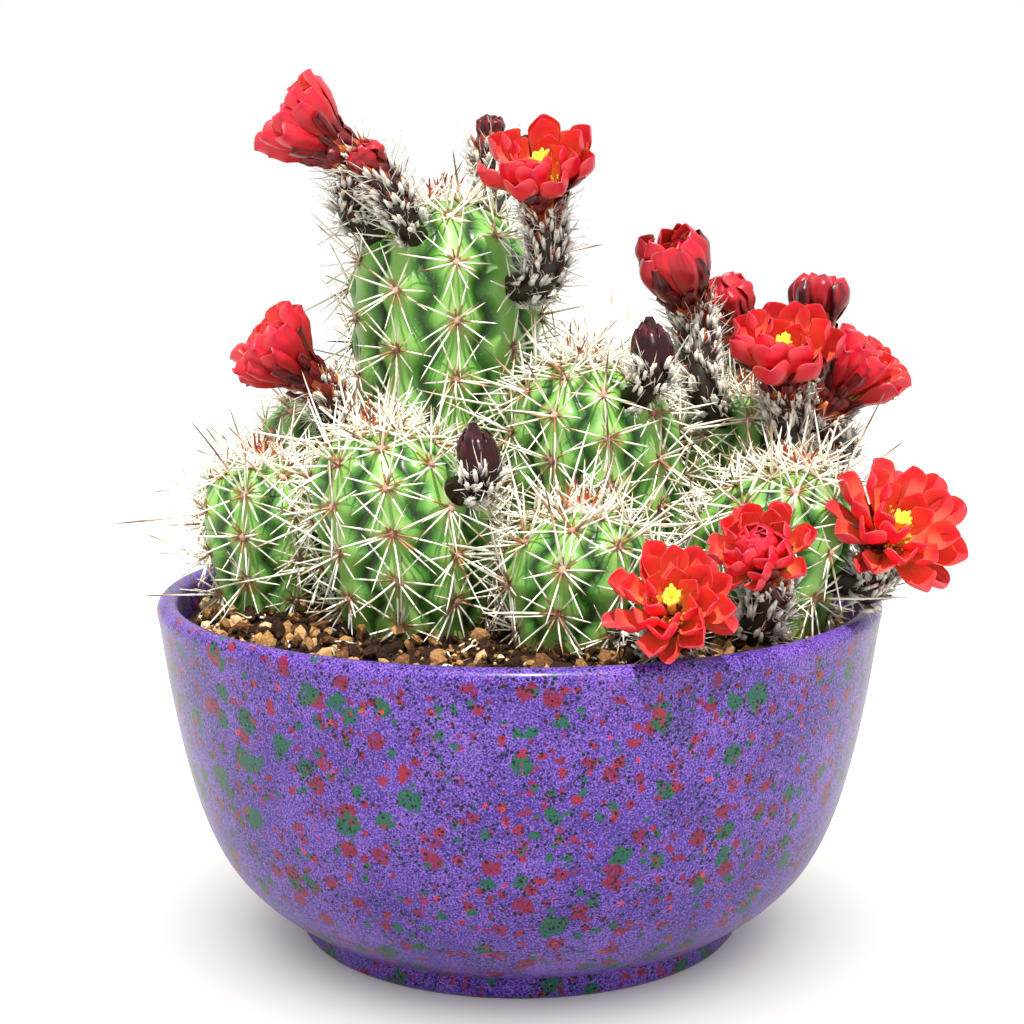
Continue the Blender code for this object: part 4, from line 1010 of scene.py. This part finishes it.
def buildHeart(name):
    # A style with its fingers, and the stamens that stand round it
    throat, facing, length, width, style = blooms[name][3:]
    r = chance("heart " + name)
    axis = direction(*facing)
    side, across = crossWays(axis)
    base = np.array(throat) + axis * 2.4 * mm
    head = length * (0.26 if style == "crowded" else 0.42)
    parts = Parts("along", "tone")
    growNeedles(parts, base[None], axis[None], head + 1 * mm, 1.1 * mm, tone=0.55, sides=8, rows=4)
    fingers, stamens = 11, 52
    out = turned(side, across, evenTurns(fingers) + r.uniform(-0.15, 0.15, fingers))
    roots = base + axis * (head - 0.3 * mm) + out * 1.3 * mm
    growCushions(
        parts, roots + axis * r.uniform(0.8, 2.4, (fingers, 1)) * mm,
        unit(axis + out * r.uniform(0.1, 0.9, (fingers, 1))), 0.80 * mm, r.uniform(1.8, 2.8, fingers) * mm, r,
        tone=r.uniform(0.45, 0.75, fingers), rough=0.06,
    )
    out = turned(side, across, r.uniform(0, fullTurn, stamens))
    ways = unit(axis + out * r.uniform(0.25, 0.75, (stamens, 1)))
    lengths = head * r.uniform(0.65, 1.0, stamens)
    roots = base + out * r.uniform(2.0, 3.6, (stamens, 1)) * mm
    growNeedles(parts, roots, ways, lengths, 0.24 * mm, tone=r.uniform(0.15, 0.35, stamens))
    growCushions(
        parts, roots + ways * lengths[:, None], ways, 0.34 * mm, 0.60 * mm, r, tone=r.uniform(0.05, 0.35, stamens),
        sides=6, rough=0.08,
    )
    makePiece(f"heart_{name}", parts, heartFinish, "stigma", f"stigma_{name}")


def wrapSepals(sheath, line, along, side, across, radii, r):
    # Sepals in a spiral, each wrapped round the bud and pinched along its middle
    count, rows, columns = budShape["sepals"], budShape["rows"], budShape["columns"]
    starts = np.linspace(*budShape["starts"], count)[:, None, None]
    share = np.linspace(0.03, 0.98, rows)[None, :, None]
    theta = evenTurns(columns)
    place = starts + share * (0.985 - starts) * np.linspace(0.80, 1.0, count)[:, None, None] + 0 * theta
    halfTurn = budShape["halfTurn"] * np.sqrt(np.maximum(0.0, 1 - share ** 3)) * (0.4 + share) ** 0.3
    angle = (np.arange(count) * goldenAngle)[:, None, None] + np.cos(theta) * halfTurn
    ridge = budShape["ridge"] * np.exp(-(np.cos(theta) / 0.35) ** 2) * (np.sin(theta) > 0)
    lift = np.interp(place, np.linspace(0, 1, len(line)), radii) + (0.05 + 0.25 * share) * mm
    lift = lift + np.sin(theta) * budShape["edge"] + ridge
    out = turned(readLine(side, place), readLine(across, place), angle)
    rings = readLine(line, place) + out * lift[..., None]
    loft(
        sheath, rings, rings[:, 0].mean(1), rings[:, -1].mean(1) + along[-1] * 0.3 * mm, along=share,
        tone=r.uniform(-0.12, 0.12, count)[:, None, None],
    )


def buildBud(name):
    stemName, azimuth, height, facing, length, belly = buds[name]
    r = chance("bud " + name)
    root, normal = rootOf(stemName, azimuth, height)
    axis = direction(*facing)
    tip = budTip(root + normal * (bloom["bossLength"] + bloom["gap"]), normal, axis, length)
    line = tubeLine(root, normal, tip, axis)
    way = np.linspace(0, 1, len(line))
    shares, widths = budShape["outline"]
    low = [bloom["baseRadius"]] * 2
    radii = np.interp(way, [0, budShape["neck"]] + shares, low + [belly * width for width in widths])
    sheath, fleece = Parts("along", "tone"), Parts("along", "tone")
    if name in witheredBuds:
        coverTube("bud " + name, line, normal, axis, radii, sheath, fleece, last=0.82)
        crumpled = Parts("along", "across", "inside", "tone", "dark")
        for level, whorl in enumerate(witheredWhorls):
            whorl = whorl + (witheredBuds[name],)
            growPetals(crumpled, line[-6], axis, whorl, 0.6 * level, 9 * mm, 6 * mm, r, (3.2 - level) * mm)
        makePiece(f"withered_{name}", crumpled, petalFinish, "bud", f"bud_{name}")
        makePiece(f"budSheath_{name}", sheath, scaleFinish, "bud")
    else:
        coverTube("bud " + name, line, normal, axis, radii, Parts(), fleece, 0.05, 0.46, 0.62 * mm)
        along, side, across = framesOf(line, normal, axis)
        rings = line[:, None] + turned(side[:, None], across[:, None], evenTurns(24)) * radii[:, None, None] * 0.96
        loft(sheath, rings[None], line[None, 0], line[None, -1], along=way[:, None] * 0.6, tone=0.0)
        wrapSepals(sheath, line, along, side, across, radii, r)
        makePiece(f"sepals_{name}", sheath, budFinish, "bud", f"bud_{name}")
    makePiece(f"budFleece_{name}", fleece, woolFinish, "bud")


for name in blooms:
    buildBloom(name)
    if blooms[name][-1] in heartStyles:
        buildHeart(name)
for name in buds:
    buildBud(name)
print("blooms and buds made")


# Spines and areoles

spine = {
    # Each kind: count at an areole, tilts, lengths, radius, distance from the middle, share lost near the top, share
    # of old brown ones
    "kinds": [
        (11, (50, 84), (9.5 * mm, 16.5 * mm), 0.30 * mm, 0.7 * mm, 0.25, 0.05),
        (2, (8, 62), (12 * mm, 29 * mm), 0.36 * mm, 0.4 * mm, 0.45, 0.40),
    ],
    "crown": 7, "crownLengths": (9 * mm, 18 * mm), "crownRadius": 0.33 * mm, "crownBrown": 0.35, "bend": 0.10,
    "shortest": 3.5 * mm, "cushion": (1.4 * mm, 0.8 * mm), "young": 16, "youngRadius": 0.42 * mm, "tipFelt": 26,
    "tipReach": 4.5,
}


def bloomVolumes():
    # Lines with a radius that the spines keep out of: each tube, each corolla and each bud
    volumes = []
    for stemName, azimuth, height, throat, facing, length, width, style in blooms.values():
        root, normal = rootOf(stemName, azimuth, height)
        throat, axis = np.array(throat), direction(*facing)
        lean = math.radians(max(bloomStyles[style][1][1:3]) * 0.62)
        reach, depth = bloom["mouthRadius"] + length * math.sin(lean), length * max(0.35, math.cos(lean))
        volumes.append((root + normal * 7 * mm, throat, bloom["mouthRadius"] + 1.5 * mm))
        volumes.append((throat + axis * 3 * mm, throat + axis * depth, reach * 0.85))
    for stemName, azimuth, height, facing, length, belly in buds.values():
        root, normal = rootOf(stemName, azimuth, height)
        start = root + normal * bloom["bossLength"]
        volumes.append((start, budTip(start, normal, direction(*facing), length), belly + 1 * mm))
    return volumes


volumes = bloomVolumes()


def blocked(points, ownStem):
    # Whether points lie in the soil, the bowl's wall, another stem or a bloom
    x, y, z = np.moveaxis(points, -1, 0)
    across, rim = np.hypot(x, y), bowl["rimRadius"]
    hit = (z < soilHeight(x, y)) & (across < soil["radius"] + 2 * mm)
    inWall = (across > rim - bowl["wall"] - 0.6 * mm) & (across < rim + 0.6 * mm)
    hit |= inWall & (z < bowl["height"] + 0.4 * mm)
    for other in stems:
        top = stems[other][1][2]
        rise = np.clip(z - soilTop, 0, top - soilTop)
        gone = np.linalg.norm(points[..., :2] - stemAxis(other, rise)[..., :2], axis=-1)
        if other != ownStem:
            hit |= (gone < stemRadius(other, rise) * 0.96) & (z < top)
    for start, end, radius in volumes:
        line = end - start
        share = np.clip((points - start) @ line / (line @ line), 0, 1)
        hit |= np.linalg.norm(points - start - share[..., None] * line, axis=-1) < radius
    return hit


def growSpines(parts, name, roots, ways, lengths, radius, r, brown):
    # Spines stop short of what they would run into, and those left too short are dropped
    steps = np.linspace(0.25, 1.0, 12)
    hit = blocked(roots[:, None] + ways[:, None] * (lengths[:, None] * steps)[..., None], name)
    lengths = lengths * np.where(hit.any(1), steps[hit.argmax(1)] - 0.08, 1.0)
    keep = lengths > spine["shortest"]
    roots, ways, lengths, count = roots[keep], ways[keep], lengths[keep], int(keep.sum())
    bends = unit(r.normal(size=(count, 3))) * (lengths * spine["bend"] * r.uniform(0, 1, count))[:, None]
    tone = r.uniform(-0.34, -0.10, count)  # most stay ivory to the tip, some are tan and a few are old and brown
    tone = tone + (r.uniform(size=count) < 0.25) * 0.22 + (r.uniform(size=count) < brown) * 0.42
    growNeedles(parts, roots, ways, lengths, radius, bends=bends, tone=tone, rows=4)


def fan(normal, count, tilts, r):
    # Ways out of each areole, spread evenly round it
    side, across = crossWays(normal)
    turn = (np.arange(count) + r.uniform(-0.3, 0.3, (len(normal), count))) * fullTurn / count
    turn = turn + r.uniform(0, fullTurn, (len(normal), 1))
    tilt = np.radians(r.uniform(*tilts, (len(normal), count)))
    sideways = turned(side[:, None], across[:, None], turn)
    return turned(normal[:, None], sideways, tilt), sideways


def dressStem(name, felt, young):
    apex, radius = np.array(stems[name][1]), stems[name][2]
    r = chance("spines " + name)
    rib, height, way = areolePlaces(name)
    angle = ribAngle(name, rib, height)
    normal = stemNormal(name, angle, height)
    roots = stemPoint(name, angle, height, 1 + stem["bulge"] * smoothStep((1 - way) * 4))
    size = 0.72 + 0.28 * smoothStep((radius - 12 * mm) / (8 * mm))
    fresh = smoothStep((way - 0.75) / 0.25)
    wide, high = spine["cushion"]
    growCushions(
        felt, roots, normal, wide * (1 + 0.25 * fresh), high * (1 + 0.6 * fresh), r,
        tone=-0.35 + 0.55 * fresh + r.uniform(-0.1, 0.15, len(rib)), rough=0.25,
    )
    parts = Parts("along", "tone")
    for each, tilts, lengths, thick, apart, lost, brown in spine["kinds"]:
        ways, sideways = fan(normal, each, tilts, r)
        lengths = r.uniform(*lengths, each * len(rib)) * size * (1 - lost * np.repeat(fresh, each))
        starts = (roots[:, None] + sideways * apart).reshape(-1, 3)
        growSpines(parts, name, starts, ways.reshape(-1, 3), lengths, thick * size, r, brown)
    count = spine["crown"]
    out, rim = outward(r.uniform(0, fullTurn, count)), r.uniform(0.05, 0.42, (count, 1))
    drop = stem["domeShare"] * (1 - np.sqrt(1 - rim ** 2)) * radius + 0.5 * mm
    ways = unit(out * r.uniform(0.1, 0.9, (count, 1)) + [0, 0, 1.0] + r.normal(size=(count, 3)) * 0.15)
    lengths = r.uniform(*spine["crownLengths"], count) * size
    starts = apex + out * rim * radius - [0, 0, 1] * drop
    growSpines(parts, name, starts, ways, lengths, spine["crownRadius"] * size, r, spine["crownBrown"])
    makePiece(f"spines_{name}", parts, spineFinish, "cactus_skin")
    count, tip = spine["young"], apex - [0, 0, 0.5 * mm]
    out, rim = outward(r.uniform(0, fullTurn, count)), r.uniform(0.5, spine["tipReach"], (count, 1)) * mm * size
    ways = unit(out * r.uniform(0.0, 0.7, (count, 1)) + [0, 0, 1.0])
    growNeedles(
        young, tip + out * rim, ways, r.uniform(4, 9, count) * mm * size, spine["youngRadius"],
        bends=r.normal(size=(count, 3)) * 1.2 * mm, tone=r.uniform(-0.2, 0.2, count), sides=5, rows=4,
    )
    count, tip = spine["tipFelt"], apex - [0, 0, 0.4 * mm]
    out = outward(r.uniform(0, fullTurn, count))
    rim = np.sqrt(r.uniform(0, 1, (count, 1))) * spine["tipReach"] * mm * size
    growCushions(
        felt, tip + out * rim, unit(out * 0.5 + [0, 0, 1.0]), 1.3 * mm, 1.2 * mm, r,
        tone=r.uniform(0.5, 1.0, count), rough=0.35,
    )


felt, young = Parts("along", "tone"), Parts("along", "tone")
for name in stems:
    dressStem(name, felt, young)
makePiece("areoleFelt", felt, feltFinish, "cactus_skin")
makePiece("youngSpines", young, youngFinish, "cactus_skin")
print("spines made")


# Floor, light and camera

view = {  # the photograph's own, from the bowl's axis
    "lens": 66.16, "sensor": 36.0, "shift": -0.0074, "down": 8.84, "distance": 0.531, "height": 0.2022,
}


def layFloor():
    # Matt white paper, a little warm against the violet that the bowl throws on it
    half = 4.0
    mesh = bpy.data.meshes.new("floor")
    mesh.from_pydata([(-half, -half, 0), (half, -half, 0), (half, half, 0), (-half, half, 0)], [], [(0, 1, 2, 3)])
    finish = {"Roughness": 0.95, "Specular_IOR_Level": 0.0, "Base_Color": fromHex("#FEFDF4")}
    mesh.materials.append(newMaterial("Matt white paper", **finish)[0])
    floor = putInScene("floor", mesh)
    floor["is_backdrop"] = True
    return floor


def addSun(name, azimuth, elevation, strength, spread, colour, group, shown):
    # A lamp that lights only the objects shown
    data = bpy.data.lights.new(name, "SUN")
    data.energy, data.angle, data.color = strength, math.radians(spread), fromHex(colour)[:3]
    lamp = putInScene(name, data)
    lamp.rotation_euler = Vector(direction(azimuth, elevation)).to_track_quat("Z", "Y").to_euler()
    lamp.light_linking.receiver_collection = bpy.data.collections.new(group)
    for piece in shown:
        lamp.light_linking.receiver_collection.objects.link(piece)


def addCamera():
    data = bpy.data.cameras.new("camera")
    data.lens, data.sensor_width, data.shift_x = view["lens"], view["sensor"], view["shift"]
    camera = putInScene("camera", data)
    camera.location = (bowlAxis[0], bowlAxis[1] - view["distance"], view["height"])
    camera.rotation_euler = (math.radians(90 - view["down"]), 0, 0)
    bpy.context.scene.camera = camera


floor = layFloor()
addSun("keyLight", -84, 64, 5.4, 1.2, "#FFFAF2", "litByKey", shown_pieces())
addSun("floorLight", -80, 80, 1.9, 80.0, "#FFFFFF", "litFloor", [floor])
world = bpy.data.worlds.new("studio")
bpy.context.scene.world = world
world.use_nodes = True
world.node_tree.nodes["Background"].inputs["Color"].default_value = (1, 1, 1, 1)
world.node_tree.nodes["Background"].inputs["Strength"].default_value = 1.0
bpy.context.scene.view_settings.view_transform = "Standard"
addCamera()
print("scene made")
